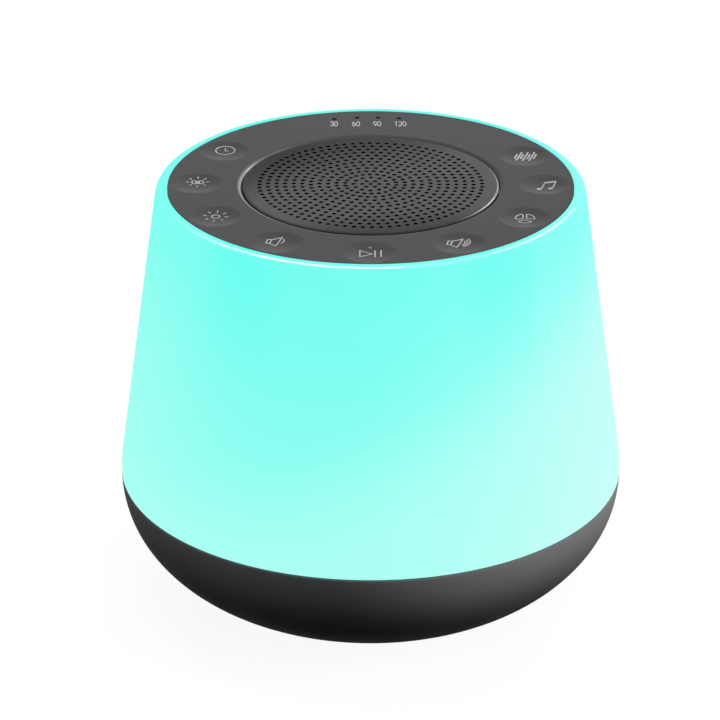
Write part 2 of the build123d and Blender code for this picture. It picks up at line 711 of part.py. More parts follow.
def make_panel():
    """Ring-shaped key panel with a well for each key, light holes and screw bosses."""
    lip = CenterArc((PANEL_BORE + PANEL_LIP_R, PANEL_TOP - PANEL_LIP_R), PANEL_LIP_R, 90, 90)
    panel = turned(
        Polyline(
            lip @ 1,
            (PANEL_BORE, PANEL_UNDER),
            (PANEL_R, PANEL_UNDER),
            (PANEL_R, PANEL_TOP),
            lip @ 0,
        ),
        lip,
    )
    panel += [p * rod(PANEL_BOSS_R, CONTROL_BOARD_TOP, PANEL_UNDER) for p in BOSS_PLACES]
    panel -= [p * rod(SMALL_SHANK_R, 0, CONTROL_BOARD_TOP + SMALL_BITE) for p in BOSS_PLACES]
    panel -= [p * rod(KEY_R + KEY_FIT, PANEL_UNDER - PAST, TOP_Z) for p in KEY_PLACES.values()]
    panel -= [p * rod(LIGHT_HOLE_R, PANEL_UNDER - PAST, TOP_Z) for p in TIMER_PLACES]
    return panel


def make_key():
    """Dished key with two lugs that stop it under the panel and a pad over its switch."""
    dish = (DISH_R**2 + DISH_DEPTH**2) / (2 * DISH_DEPTH)
    hollow = Pos(0, 0, PANEL_TOP - DISH_DEPTH + dish) * Sphere(dish)
    key = rod(KEY_R, KEY_BOTTOM, PANEL_TOP) - hollow
    lug_top = PANEL_UNDER - LUG_GAP
    span = 2 * (KEY_R + KEY_FIT + LUG_REACH)
    lugs = block(LUG_W, span, lug_top - LUG_T, lug_top)
    pad = block(PAD_W, PAD_W, PAD_BOTTOM, KEY_BOTTOM)
    return key + lugs + pad


KEY_PLACES = {name: at_polar(KEY_CIRCLE_R, angle) for name, angle in KEY_ANGLES.items()}
TIMER_PLACES = [at_polar(PANEL_R - TIMER_LIGHT_IN, a) for a in TIMER_LIGHT_ANGLES]
keep("panel", make_panel())

key = make_key()
plunger = block(PLUNGER_W, PLUNGER_W, SWITCH_TOP - PLUNGER_SUNK, PAD_BOTTOM)
for name, place in KEY_PLACES.items():
    keep(f"key_{name}", place * key)
    keep(f"plunger_{name}", place * plunger)

lens_place = KEY_PLACES["play"] * Pos(-PLAY_LIGHT_IN, 0, 0)
lens_top = PANEL_TOP - DISH_DEPTH * (1 - (PLAY_LIGHT_IN / DISH_R) ** 2)
keep("key_play", PIECES["key_play"] - lens_place * rod(PLAY_LIGHT_R, KEY_BOTTOM - PAST, TOP_Z))
keep("play_light", lens_place * rod(PLAY_LIGHT_R, KEY_BOTTOM, lens_top))

switch = block(SWITCH_W, SWITCH_W, CONTROL_BOARD_TOP, SWITCH_TOP)
well_w = PLUNGER_W + TOUCH_FREE
switch -= block(well_w, well_w, SWITCH_TOP - PLUNGER_SUNK - KEY_TRAVEL - FIT, TOP_Z)
keep("switches", separate([p * switch for p in KEY_PLACES.values()]))

pipe_low = CONTROL_BOARD_TOP + LIGHT_CHIP_H
keep(
    "timer_chips",
    separate([p * block(LIGHT_CHIP, LIGHT_CHIP, CONTROL_BOARD_TOP, pipe_low) for p in TIMER_PLACES]),
)
pipe = rod(LIGHT_PIPE_R, pipe_low, PANEL_TOP - LIGHT_SINK)
keep("timer_lights", separate([p * pipe for p in TIMER_PLACES]))

os.makedirs("parts", exist_ok=True)
for name, piece in PIECES.items():
    export_step(piece, f"parts/{name}.step")
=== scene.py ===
import json
import math

import bmesh
import bpy
import numpy as np
from mathutils import Matrix, Vector
from mathutils.geometry import delaunay_2d_cdt


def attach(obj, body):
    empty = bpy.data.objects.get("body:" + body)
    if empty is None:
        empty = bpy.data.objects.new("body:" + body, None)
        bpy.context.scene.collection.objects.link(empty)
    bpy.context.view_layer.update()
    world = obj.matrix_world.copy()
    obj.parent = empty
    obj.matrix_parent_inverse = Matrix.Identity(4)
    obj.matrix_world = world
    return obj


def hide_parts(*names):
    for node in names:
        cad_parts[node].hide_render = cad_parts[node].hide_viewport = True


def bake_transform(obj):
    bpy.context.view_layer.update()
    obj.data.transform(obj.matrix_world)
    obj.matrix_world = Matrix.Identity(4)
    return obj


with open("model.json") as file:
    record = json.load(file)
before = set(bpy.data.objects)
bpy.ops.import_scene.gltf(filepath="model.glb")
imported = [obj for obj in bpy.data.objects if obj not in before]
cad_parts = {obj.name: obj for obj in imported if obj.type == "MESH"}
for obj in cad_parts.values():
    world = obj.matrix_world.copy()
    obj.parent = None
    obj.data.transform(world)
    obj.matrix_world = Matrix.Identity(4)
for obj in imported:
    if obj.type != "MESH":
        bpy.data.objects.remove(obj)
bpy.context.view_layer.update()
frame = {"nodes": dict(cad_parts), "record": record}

# White noise sound machine. Lengths below are millimetres; they become metres in put().
MM = 0.001
FULL = 2 * math.pi
ROUND, SKIN_POINTS = 256, 96  # points round the large shells and round a key
BLACK = (0.0, 0.0, 0.0)

SEAM_R, SEAM_Z, TOP_Z, SEAM_GAP = 55.985, 29.0, 96.85, 0.3
LEAN, BELLY_R, RIM_FILLET, SHADE_WALL = math.radians(8.13), 33.3, 2.4, 2.2
PANEL_R, PANEL_T, PANEL_TOP, PANEL_BEVEL = 44.195, 1.6, 96.63, 0.12
PANEL_UNDER = PANEL_TOP - PANEL_T
LEDGE_UNDER = PANEL_UNDER - 1.6
BORE_EDGE, GRILLE_RIM = 28.1, 27.85  # the lips stand a little nearer than the walls below
BORE_ROLL, GRILLE_ROLL = 1.48, 0.6  # radii of the two lips
PANEL_FLAT_R, GRILLE_FLAT_R = 29.9, 26.5  # where the flat faces meet the lips
GRILLE_TOP, GRILLE_T = 96.58, 1.2
HOLE_RINGS = (6, 12, 22, 28, 30, 36, 44, 48, 54, 60, 66, 72, 80)
HOLE_TURNS = (-0.8, -0.9, -6.3, -5.2, -0.9, -1.4, 1.9, -0.9, -0.9, -0.9, -0.9, -0.9, 0.6)
HOLE_PITCH, HOLE_R, HOLE_SIDES, HOLE_BEVEL, HOLE_FIELD_R = 1.862, 0.52, 12, 0.02, 25.006
KEY_CIRCLE_R, SKIN_R, DISH_R, DISH_DEPTH = 37.795, 5.9, 5.85, 0.52
KEY_ANGLES = {
    "timer": 149.3, "colour": 179.7, "brightness": 209.2, "volume_down": 238.9, "play": 269.7,
    "volume_up": 299.5, "fan": 329.9, "music": 359.4, "sounds": 25.6,
}
SKIN_EDGE_Z, STEM_ROOT_Z, PAD_BOTTOM = PANEL_TOP - 0.9, PANEL_TOP - 1.5, PANEL_TOP - 3.2
STEM_ROOT_R, STEM_R = 2.2, 1.7
TIMER_CIRCLE_R, TIMER_ANGLES, LIGHT_HOLE_R = 40.095, (102.0, 94.6, 87.7, 80.8), 0.58
CONTROL_BOARD_TOP = 89.13
BOSS_CIRCLE_R, BOSS_ANGLES, BOSS_R, PILOT_R = 32.6, (52.0, 126.0, 224.0, 314.7), 2.2, 1.0
FLANGE_R, SKIRT_R, SKIRT_LOW = 29.7, 26.1, 92.58  # the grille's flange, and the ring round the cloth
BOWL_WALL, UNDER_Z, UNDER_R, SPIGOT, LAP_OUT, LAP_IN = 2.4, 0.8, 28.1, 2.35, 55.1, 53.6
GROOVE_OUT, GROOVE_IN, GROOVE_TOP, SOLE_IN = 26.6, 21.9, 2.0, 21.6  # where the foot ring sits
PORT_Z, PORT_Y, PORT_W, PORT_H, PORT_SOFT = 19.2, 52.9, 13.5, 7.0, 0.25
WINDOW_HALF, WINDOW_STEPS = 4.9, 8  # the cells behind the socket that are cut and filled anew
SOCKET_W, SOCKET_H = 9.3, 3.6
SCREW_CIRCLE_R, SCREW_WELL_R, SHANK_HOLE_R, SCREW_SEAT_Z, DECK_UNDER = 17.0, 2.95, 1.5, 10.0, 27.2
PILLAR_R, POST_CIRCLE_R, POST_R, POST_FOOT, POST_TOP, PILOT_END = 4.2, 40.5, 2.6, 8.0, 16.0, 12.0
PRINT_PROUD, PRINT_SUNK = 0.02, 0.03
FIGURE_W, FIGURE_H = 0.74, 1.24
LENS_R, LENS_RISE, LENS_BACK = 0.36, 0.08, 3.2

# the lit shade's glow, and how much of the cool one is lost at the foot near its ring of lamps, and to
# painted light at the sides and in a painted patch of light slanting up from the lower right
COOL_GLOW, WARM_GLOW = (0.135, 0.975, 0.865), (0.625, 0.985, 0.91)
FOOT_KEEP, RIGHT_LOSS, LEFT_LOSS, LAMP_LOSS = 0.872, 0.48, 0.23, 0.127
# painted reflection: a faint darker streak on each front corner of the shade
STREAK_TURN, STREAK_CORE, STREAK_END, STREAK_DEPTH = 35.4, 2.8, 16.8, 0.04
RIM_GLOSS = (0.75, 0.5, 0.16, 0.06)  # depths below the top: starts, is full, fades, has gone
# painted shade: the grille darkens along each way in (x, y), from a start to where it is full, to a share
# of its tone
GRILLE_SHADING = (
    ((-0.45, 0.9), 2.5, 26.5, 0.31), ((0.2, -1.0), 13.5, 29.0, 0.38), ((-1.0, 0.5), 17.0, 29.0, 0.6),
)
# painted shade: the bowl's colour is darker towards its foot
FOOT_SHADING = (8.0, 32.0, 0.05)  # the bowl darkens downward between these heights to this share
LIP_GLOSS, LIP_BACK, LIP_BACK_GLOSS = 0.8, 17.0, 0.1  # full gloss, and how far back what share is left
FLOOR_GREY, FLOOR_LIFT, WORLD_LEVEL = 0.08, 0.93, 0.15
RIM_TIP, EYE_HEIGHT = math.radians(30.5), math.radians(25)  # the rim's tip outward, and the eye's height


# ------------------------------------------------------------------ making meshes


def circle(radius, count=ROUND, z=0.0, centre=(0.0, 0.0), start=0.0):
    """Points on a circle: centre plus radius times (cos, sin) of equal steps of angle."""
    a = start + np.arange(count) * FULL / count
    return np.stack([centre[0] + radius * np.cos(a), centre[1] + radius * np.sin(a), np.full(count, z)], -1)


def lofted(grid, round_rows=False, round_columns=True):
    """Quads between the neighbouring points of a grid of rows by columns."""
    grid = np.asarray(grid, float)
    rows, columns = grid.shape[:2]
    index = np.arange(rows * columns).reshape(rows, columns)
    if round_rows:
        index = np.vstack([index, index[:1]])
    if round_columns:
        index = np.hstack([index, index[:, :1]])
    quads = np.stack([index[:-1, :-1], index[:-1, 1:], index[1:, 1:], index[1:, :-1]], -1)
    return grid.reshape(-1, 3), quads.reshape(-1, 4).tolist()


def turned(profile, count=ROUND, closed=True, centre=(0.0, 0.0)):
    """Surface of revolution: each (radius, height) of the profile goes round its centre's upright axis."""
    rings = [circle(max(r, 0.0), count, z, centre) for r, z in profile]
    return lofted(np.array(rings), round_rows=closed)


def flat_fill(loops):
    """Triangles across a flat face: the first loop is its edge and the others are round-bodied holes."""
    points = np.concatenate(loops)
    owner = np.concatenate([np.full(len(loop), i) for i, loop in enumerate(loops)])
    edges, first = [], 0
    for loop in loops:
        n = len(loop)
        edges += [(first + i, first + (i + 1) % n) for i in range(n)]
        first += n
    made = delaunay_2d_cdt(points[:, :2].tolist(), edges, [], 0, 1e-6)
    tris = np.array(made[2])
    source = np.array([ids[0] if len(ids) else -1 for ids in made[3]])
    who = owner[source[tris]]
    inside_hole = (who[:, 0] > 0) & (who[:, 0] == who[:, 1]) & (who[:, 1] == who[:, 2])
    return points, source[tris[~inside_hole]].tolist()


def joined(*patches):
    """One list of points and faces from several."""
    points, faces, first = [], [], 0
    for p, f in patches:
        points.append(np.asarray(p, float))
        faces += (np.asarray(f) + first).tolist()
        first += len(p)
    return np.concatenate(points), faces


def put(name, shape, finish, crisp=35.0):
    """Mesh object in metres from points and faces: doubles merged, faces outward, and edges past the
    angle crisp."""
    points, faces = shape
    mesh = bpy.data.meshes.new(name)
    mesh.from_pydata((points * MM).tolist(), [], faces)
    work = bmesh.new()
    work.from_mesh(mesh)
    bmesh.ops.remove_doubles(work, verts=work.verts, dist=2e-7)
    bmesh.ops.dissolve_degenerate(work, edges=work.edges, dist=1e-8)
    bmesh.ops.recalc_face_normals(work, faces=work.faces)
    work.to_mesh(mesh)
    work.free()
    mesh.shade_smooth()
    mesh.set_sharp_from_angle(angle=math.radians(crisp))
    mesh.materials.append(finish)
    piece = bpy.data.objects.new(name, mesh)
    bpy.context.scene.collection.objects.link(piece)
    return piece


def corner(x, z, radius, start, end, count=7):
    """Arc of a rounded corner in the (radius, height) plane, angles in degrees."""
    a = np.radians(np.linspace(start, end, count))
    return np.stack([x + radius * np.cos(a), z + radius * np.sin(a)], -1)


def rolled(edge_r, way, top, radius, tilt=48.0, count=12):
    """Arc that falls from a flat top until it leans by tilt degrees, ending at edge_r; way is +1 for
    an outer edge and -1 for a bore."""
    a = np.radians(np.linspace(0, tilt, count))
    out = edge_r - way * radius * (math.sin(a[-1]) - np.sin(a))
    return np.stack([out, top - radius * (1 - np.cos(a))], -1)


def unit(ways):
    """Each row divided by its length."""
    return ways / np.linalg.norm(ways, axis=1, keepdims=True)


def at_angle(radius, degrees_round):
    """Point (radius cos a, radius sin a) of a circle about the upright axis."""
    a = math.radians(degrees_round)
    return radius * math.cos(a), radius * math.sin(a)


def bezier(handles, count):
    """Cubic curve through its four handles' weights (1-t)^3, 3t(1-t)^2, 3t^2(1-t) and t^3."""
    t = np.linspace(0, 1, count)[:, None]
    a, b, c, d = np.array(handles, float)
    return a * (1 - t) ** 3 + 3 * b * t * (1 - t) ** 2 + 3 * c * t**2 * (1 - t) + d * t**3


def stadium(direction, width, height):
    """Distance from the middle to a round-ended slot's edge, along each (x, z) direction."""
    half, r = (width - height) / 2, height / 2
    x, z = np.abs(direction[:, 0]), np.abs(direction[:, 1])
    z = np.maximum(z, 1e-9)
    straight = r / z
    b = x * half
    arc = b + np.sqrt(np.maximum(b * b - (half * half - r * r) * (x * x + z * z), 0))
    arc /= x * x + z * z
    return np.where(straight * x <= half, straight, arc)


# ------------------------------------------------------------------ finishes


class Finish:
    """A material's nodes: every number that is the same all over sits on the shader's own socket."""

    def __init__(self, name, **sockets):
        self.material = bpy.data.materials.new(name)
        self.material.use_nodes = True
        self.tree = self.material.node_tree
        self.shader = self.tree.nodes["Principled BSDF"]
        self.where = self.node("ShaderNodeTexCoord").outputs["Object"]
        for socket, value in sockets.items():
            self.shader.inputs[socket.replace("_", " ")].default_value = value

    def node(self, kind, **settings):
        """A new node with these settings."""
        made = self.tree.nodes.new(kind)
        for key, value in settings.items():
            setattr(made, key, value)
        return made

    def link(self, out, into):
        """Wire from an output to an input."""
        self.tree.links.new(out, into)

    def axes(self):
        """X, Y and Z of the place on the object."""
        made = self.node("ShaderNodeSeparateXYZ")
        self.link(self.where, made.inputs[0])
        return made.outputs

    def noise(self, scale, detail=3.0, rough=0.6, where=None):
        """Cloud of values round a half, scale of them to the metre."""
        made = self.node("ShaderNodeTexNoise")
        made.inputs["Scale"].default_value = scale
        made.inputs["Detail"].default_value = detail
        made.inputs["Roughness"].default_value = rough
        self.link(where or self.where, made.inputs["Vector"])
        return made.outputs["Fac"]

    def math(self, operation, a, b=0.0, c=0.0, clamp=False):
        """One sum of up to three numbers or outputs."""
        made = self.node("ShaderNodeMath", operation=operation, use_clamp=clamp)
        for socket, value in zip(made.inputs, (a, b, c)):
            if isinstance(value, (int, float)):
                socket.default_value = value
            else:
                self.link(value, socket)
        return made.outputs[0]

    def product(self, value, *others):
        """All the values multiplied together."""
        for other in others:
            value = self.math("MULTIPLY", value, other)
        return value

    def spread(self, value, low, high, to_low=0.0, to_high=1.0, kind="LINEAR"):
        """The span from low to high drawn out evenly to to_low to to_high, and flat beyond it."""
        made = self.node("ShaderNodeMapRange", interpolation_type=kind)
        self.link(value, made.inputs["Value"])
        ends = {"From Min": low, "From Max": high, "To Min": to_low, "To Max": to_high}
        for socket, number in ends.items():
            made.inputs[socket].default_value = number
        return made.outputs["Result"]

    def ease(self, *numbers):
        """As spread, but an S-shaped smooth step."""
        return self.spread(*numbers, kind="SMOOTHSTEP")

    def mix(self, share, a, b):
        """Colour a, and b by the share."""
        made = self.node("ShaderNodeMix", data_type="RGBA")
        sockets = (made.inputs[0], made.inputs[6], made.inputs[7])
        for socket, value in zip(sockets, (share, a, b)):
            if isinstance(value, (int, float)):
                socket.default_value = value
            elif isinstance(value, tuple):
                socket.default_value = (*value, 1.0)
            else:
                self.link(value, socket)
        return made.outputs[2]

    def paint(self, colour):
        """Base colour from an output."""
        self.link(colour, self.shader.inputs["Base Color"])

    def roughness(self, value, low, high, span=(0.3, 0.7)):
        """Roughness from low to high as the value crosses its usual span."""
        self.link(self.spread(value, *span, low, high), self.shader.inputs["Roughness"])

    def bump(self, height, strength, distance):
        """Normals tilted by the height's slope."""
        made = self.node("ShaderNodeBump")
        made.inputs["Strength"].default_value = strength
        made.inputs["Distance"].default_value = distance
        self.link(height, made.inputs["Height"])
        self.link(made.outputs["Normal"], self.shader.inputs["Normal"])


def toned(colour, share):
    """The colour times a share, at most white."""
    return tuple(min(1.0, c * share) for c in colour)


def dark_moulding(name, shade, grain, rough, level, wear_and_painted_shade=False, foot=False, lip=None):
    """Spark-eroded dark plastic: fine even grain, faint cloudy colour and roughness. One with painted shade
    darkens to the back left and the front, and one with a foot has painted shade that darkens it downward.
    One with a lip (polished radius, bare radius, and the X where the gloss starts and is full) has one side
    of it polished."""
    f = Finish(name, Specular_IOR_Level=level, Coat_Roughness=0.2, Coat_IOR=3.2)
    x, y, z = f.axes()
    fine = f.noise(5200, 2, 0.5)
    cloud = f.noise(90, 4, 0.6)
    mottle = f.math("MULTIPLY_ADD", fine, 0.5, f.math("MULTIPLY", cloud, 0.5))
    colour = f.mix(mottle, toned(shade, 0.93), toned(shade, 1.07))
    # painted shade: the grille's face darkens to the back left and the front
    if wear_and_painted_shade:
        tones = []
        for (along_x, along_y), start, full, least in GRILLE_SHADING:
            way = f.math("MULTIPLY_ADD", x, along_x, f.math("MULTIPLY", y, along_y))
            tones.append(f.ease(way, start * MM, full * MM, 1.0, least))
        colour = f.mix(f.product(*tones), BLACK, colour)
    # painted shade: the bowl darkens towards its foot
    if foot:
        low, high, least = FOOT_SHADING
        colour = f.mix(f.ease(z, low * MM, high * MM, least, 1.0), BLACK, colour)
    if lip:
        polished, bare, start, full = lip
        square = f.math("MULTIPLY_ADD", x, x, f.math("MULTIPLY", y, y))
        edge = f.spread(square, (polished * MM) ** 2, (bare * MM) ** 2, LIP_GLOSS, 0.0)
        beside = f.ease(x, start * MM, full * MM)
        behind = f.ease(y, 0.0, LIP_BACK * MM, 1.0, LIP_BACK_GLOSS)
        f.link(f.product(edge, beside, behind), f.shader.inputs["Coat Weight"])
    f.paint(colour)
    f.roughness(cloud, *rough)
    f.bump(fine, grain, 0.0001)
    return f.material


def satin_moulding(name, colour, rough=(0.4, 0.5), level=0.35):
    """Plain light or dark plastic of the inner mouldings, with flow marks."""
    f = Finish(name, Specular_IOR_Level=level)
    flow = f.noise(140, 4, 0.65)
    f.paint(f.mix(flow, toned(colour, 0.92), toned(colour, 1.06)))
    f.roughness(flow, *rough)
    f.bump(f.noise(2600, 2), 0.05, 0.0001)
    return f.material


def brushed_metal(name, colour, rough=(0.25, 0.4), scale=(900, 900, 4000)):
    """Drawn or plated metal with fine lines along one way."""
    f = Finish(name, Metallic=1.0)
    stretch = f.node("ShaderNodeMapping")
    stretch.inputs["Scale"].default_value = scale
    f.link(f.where, stretch.inputs["Vector"])
    lines = f.noise(1.0, 3, 0.6, stretch.outputs["Vector"])
    f.paint(f.mix(lines, toned(colour, 0.8), colour))
    f.roughness(lines, *rough)
    f.bump(lines, 0.08, 0.00005)
    return f.material


def circuit_board(name, colour, copper):
    """Solder-masked board with faint tracks under the mask."""
    f = Finish(name, Specular_IOR_Level=0.5)
    tracks = f.node("ShaderNodeTexBrick", offset=0.35, squash=1.6)
    tracks.inputs["Scale"].default_value = 210
    tracks.inputs["Mortar Size"].default_value = 0.03
    f.link(f.where, tracks.inputs["Vector"])
    f.paint(f.mix(tracks.outputs["Fac"], colour, copper))
    f.roughness(f.noise(300), 0.3, 0.45)
    f.bump(tracks.outputs["Fac"], 0.1, 0.0001)
    return f.material


def woven_cloth(name, colour, pitch=0.00022, gap=(0.004, 0.004, 0.004)):
    """Fine square mesh: two crossed waves, high where a thread passes over."""
    f = Finish(name, Sheen_Weight=0.15, Specular_IOR_Level=0.2, Roughness=0.85)
    x, y, _ = f.axes()
    weave = f.product(*(f.math("SINE", f.math("MULTIPLY", way, FULL / pitch)) for way in (x, y)))
    f.paint(f.mix(f.spread(weave, -1, 1), gap, colour))
    f.bump(weave, 0.3, 0.0001)
    return f.material


def soft_rubber(name, colour, grain=0.15):
    """Matt rubber or foam with a fine open grain."""
    f = Finish(name, Specular_IOR_Level=0.2)
    pores = f.noise(3000, 4, 0.7)
    f.paint(f.mix(pores, toned(colour, 0.8), toned(colour, 1.15)))
    f.roughness(pores, 0.7, 0.9)
    f.bump(pores, grain, 0.0002)
    return f.material


def pressed_paper(name):
    """Cone paper: felted fibres with rings from the press."""
    f = Finish(name, Specular_IOR_Level=0.15)
    fibres = f.noise(1800, 6, 0.75)
    f.paint(f.mix(fibres, (0.012, 0.012, 0.013), (0.035, 0.034, 0.033)))
    f.roughness(fibres, 0.75, 0.95)
    f.bump(fibres, 0.3, 0.0002)
    return f.material


def lit_shade(name):
    """Milky blue-green plastic lit from the ring at its foot, its glow whiter low down near that ring. On
    the glow lies painted light, whiter to the sides and in a patch slanting up from the lower right, and a
    painted reflection, a faint darker streak on the two front corners. Each fall-off is a smooth step of
    height, side or turn, and only the rim's fillet is glossy."""
    f = Finish(name, Specular_IOR_Level=0.0, Coat_Roughness=0.06, Coat_IOR=1.8, IOR=1.49,
               Emission_Strength=1.0)
    x, y, z = f.axes()
    height = f.spread(z, SEAM_Z * MM, TOP_Z * MM)
    side = f.spread(x, -SEAM_R * MM, SEAM_R * MM)
    turn = f.math("ARCTAN2", f.math("ABSOLUTE", x), f.math("ABSOLUTE", y))

    # shares of the height above the seam, and of the width from left to right; with them the glow carries
    # painted light, whiter to each side and in a patch that slants up from the lower right
    below_rim = f.ease(height, 0.6, 1.0, 1.0, 0.45)
    to_right = f.product(f.ease(side, 0.45, 1.6), below_rim)
    to_left = f.product(f.ease(side, -0.4, 0.389, 1.0, 0.0), below_rim)
    slant = f.math("MULTIPLY_ADD", height, -1.23, side)
    lamps = f.product(f.ease(slant, -0.249, 0.395), f.ease(height, 0.45, 0.95, 1.0, 0.0))
    # only the whiter glow low down is the foot lamps' own light; the three losses after it are painted
    # light
    keep = f.ease(height, -0.084, 1.189, FOOT_KEEP, 1.0)
    for part, loss in ((to_right, RIGHT_LOSS), (to_left, LEFT_LOSS), (lamps, LAMP_LOSS)):
        keep = f.product(keep, f.spread(part, 0.0, 1.0, 1.0, 1.0 - loss))

    # painted reflection: a faint darker streak on each front corner, stronger higher up
    off_corner = f.math("ABSOLUTE", f.math("SUBTRACT", turn, math.radians(STREAK_TURN)))
    core, end = math.radians(STREAK_CORE), math.radians(STREAK_END)
    streak = f.product(f.ease(off_corner, core, end, STREAK_DEPTH, 0.0), f.ease(height, 0.346, 1.0))
    drift = f.math("MULTIPLY_ADD", f.noise(16, 2, 0.5), 0.02, 1.027)
    share = f.math("SUBTRACT", f.math("SUBTRACT", drift, keep), streak)
    glow = f.mix(f.math("MULTIPLY", share, 2.0, clamp=True), COOL_GLOW, WARM_GLOW)
    f.link(glow, f.shader.inputs["Emission Color"])

    starts, is_full, fades, has_gone = ((TOP_Z - depth) * MM for depth in RIM_GLOSS)
    rim = f.product(f.spread(z, starts, is_full), f.spread(z, fades, has_gone, 1.0, 0.0))
    ends = f.product(f.spread(x, -43 * MM, -34 * MM), f.spread(x, 37 * MM, 45 * MM, 1.0, 0.15))
    f.link(f.product(rim, ends), f.shader.inputs["Coat Weight"])
    milk = f.noise(900, 3, 0.5)
    f.paint(f.mix(milk, (0.010, 0.030, 0.022), (0.014, 0.037, 0.027)))
    f.roughness(f.noise(60, 3), 0.3, 0.4)
    f.bump(f.noise(260, 2, 0.4), 0.02, 0.0002)
    return f.material


def printed_grey(name, level):
    """Pad-printed light grey ink, slightly uneven."""
    f = Finish(name, Specular_IOR_Level=0.25)
    wear_and_painted_shade = f.noise(4200, 3, 0.6)
    grey = (level, level, level)
    f.paint(f.mix(wear_and_painted_shade, toned(grey, 0.86), toned(grey, 1.1)))
    f.roughness(wear_and_painted_shade, 0.45, 0.6)
    f.bump(wear_and_painted_shade, 0.05, 0.00005)
    return f.material


def coil_wire(name):
    """Enamelled copper: close turns stacked along Z."""
    f = Finish(name, Metallic=1.0)
    wire = 0.00018
    turns = f.math("SINE", f.math("MULTIPLY", f.axes()[2], FULL / wire))
    f.paint(f.mix(f.spread(turns, -1, 1), (0.35, 0.12, 0.05), (0.8, 0.36, 0.2)))
    f.roughness(turns, 0.45, 0.25, (-1, 1))
    f.bump(turns, 0.3, 0.0001)
    return f.material


def clear_lens(name, colour):
    """Milky light pipe."""
    f = Finish(name, Specular_IOR_Level=0.03, IOR=1.49)
    haze = f.noise(1500, 3)
    f.paint(f.mix(haze, toned(colour, 0.9), colour))
    f.roughness(haze, 0.2, 0.35)
    f.bump(haze, 0.04, 0.0001)
    return f.material


FINISHES = {
    "bowl_plastic": dark_moulding(
        # painted shade darkens the bowl towards its foot
        "Bowl plastic", (0.112, 0.112, 0.113), 0.06, (0.5, 0.6), 0.003, foot=True),
    "panel_plastic": dark_moulding(
        "Panel plastic", (0.050, 0.050, 0.0505), 0.04, (0.22, 0.28), 0.03,
        lip=(BORE_EDGE + 0.5, BORE_EDGE + 1.0, -6, -24)),
    "grille_plastic": dark_moulding(
        # painted shade on the grille's face, to the back left and the front
        "Grille plastic", (0.063, 0.063, 0.0635), 0.04, (0.22, 0.28), 0.03, wear_and_painted_shade=True,
        lip=(GRILLE_RIM - 0.25, GRILLE_RIM - 0.5, 18, 28)),
    "shade_plastic": lit_shade("Lit shade"),
    "foot_rubber": soft_rubber("Foot rubber", (0.022, 0.022, 0.023)),
    "roll_rubber": soft_rubber("Surround rubber", (0.014, 0.014, 0.015), 0.08),
    "foam": soft_rubber("Gasket foam", (0.03, 0.03, 0.031), 0.4),
    "screw_steel": brushed_metal("Screw steel", (0.45, 0.44, 0.42)),
    "socket_steel": brushed_metal("Socket steel", (0.62, 0.61, 0.6), (0.22, 0.32), (3000, 500, 3000)),
    "plated_steel": brushed_metal("Plated steel", (0.5, 0.5, 0.52)),
    "can_aluminium": brushed_metal("Can aluminium", (0.75, 0.75, 0.76), (0.2, 0.3), (400, 400, 400)),
    "board_green": circuit_board("Green board", (0.010, 0.075, 0.030), (0.03, 0.14, 0.05)),
    "board_white": circuit_board("White board", (0.72, 0.73, 0.72), (0.62, 0.63, 0.6)),
    "white_abs": satin_moulding("White moulding", (0.72, 0.73, 0.73)),
    "black_plastic": satin_moulding("Black plastic", (0.02, 0.02, 0.021)),
    "led_body": satin_moulding("Lamp body", (0.75, 0.74, 0.6)),
    "ribbon_film": satin_moulding("Ribbon film", (0.55, 0.56, 0.58)),
    "clear_plastic": clear_lens("Smoked light pipe", (0.008, 0.008, 0.009)),
    "paper": pressed_paper("Cone paper"),
    "ferrite": soft_rubber("Ferrite", (0.03, 0.03, 0.033), 0.25),
    "cloth": woven_cloth("Dust cloth", (0.012, 0.012, 0.013)),
    "spider_cloth": woven_cloth("Spider cloth", (0.42, 0.24, 0.07), 0.0005, (0.2, 0.1, 0.03)),
    "coil_copper": coil_wire("Coil wire"),
}
ICON_INK = printed_grey("Key sign ink", 0.36)
DIGIT_INK = printed_grey("Number ink", 0.50)
LENS_TINT = printed_grey("Play lens", 0.17)

for piece in frame["record"]["subparts"]:
    for held in frame["nodes"][piece["node"]].material_slots:
        held.link = "OBJECT"
        held.material = FINISHES[piece["material_slot"]]


# ------------------------------------------------------------------ shade


def wall_radius(z):
    """Outer radius of the leaning wall above the belly arc."""
    arc_top = BELLY_R * math.sin(LEAN)
    return SEAM_R - BELLY_R * (1 - math.cos(LEAN)) - (z - SEAM_Z - arc_top) * math.tan(LEAN)


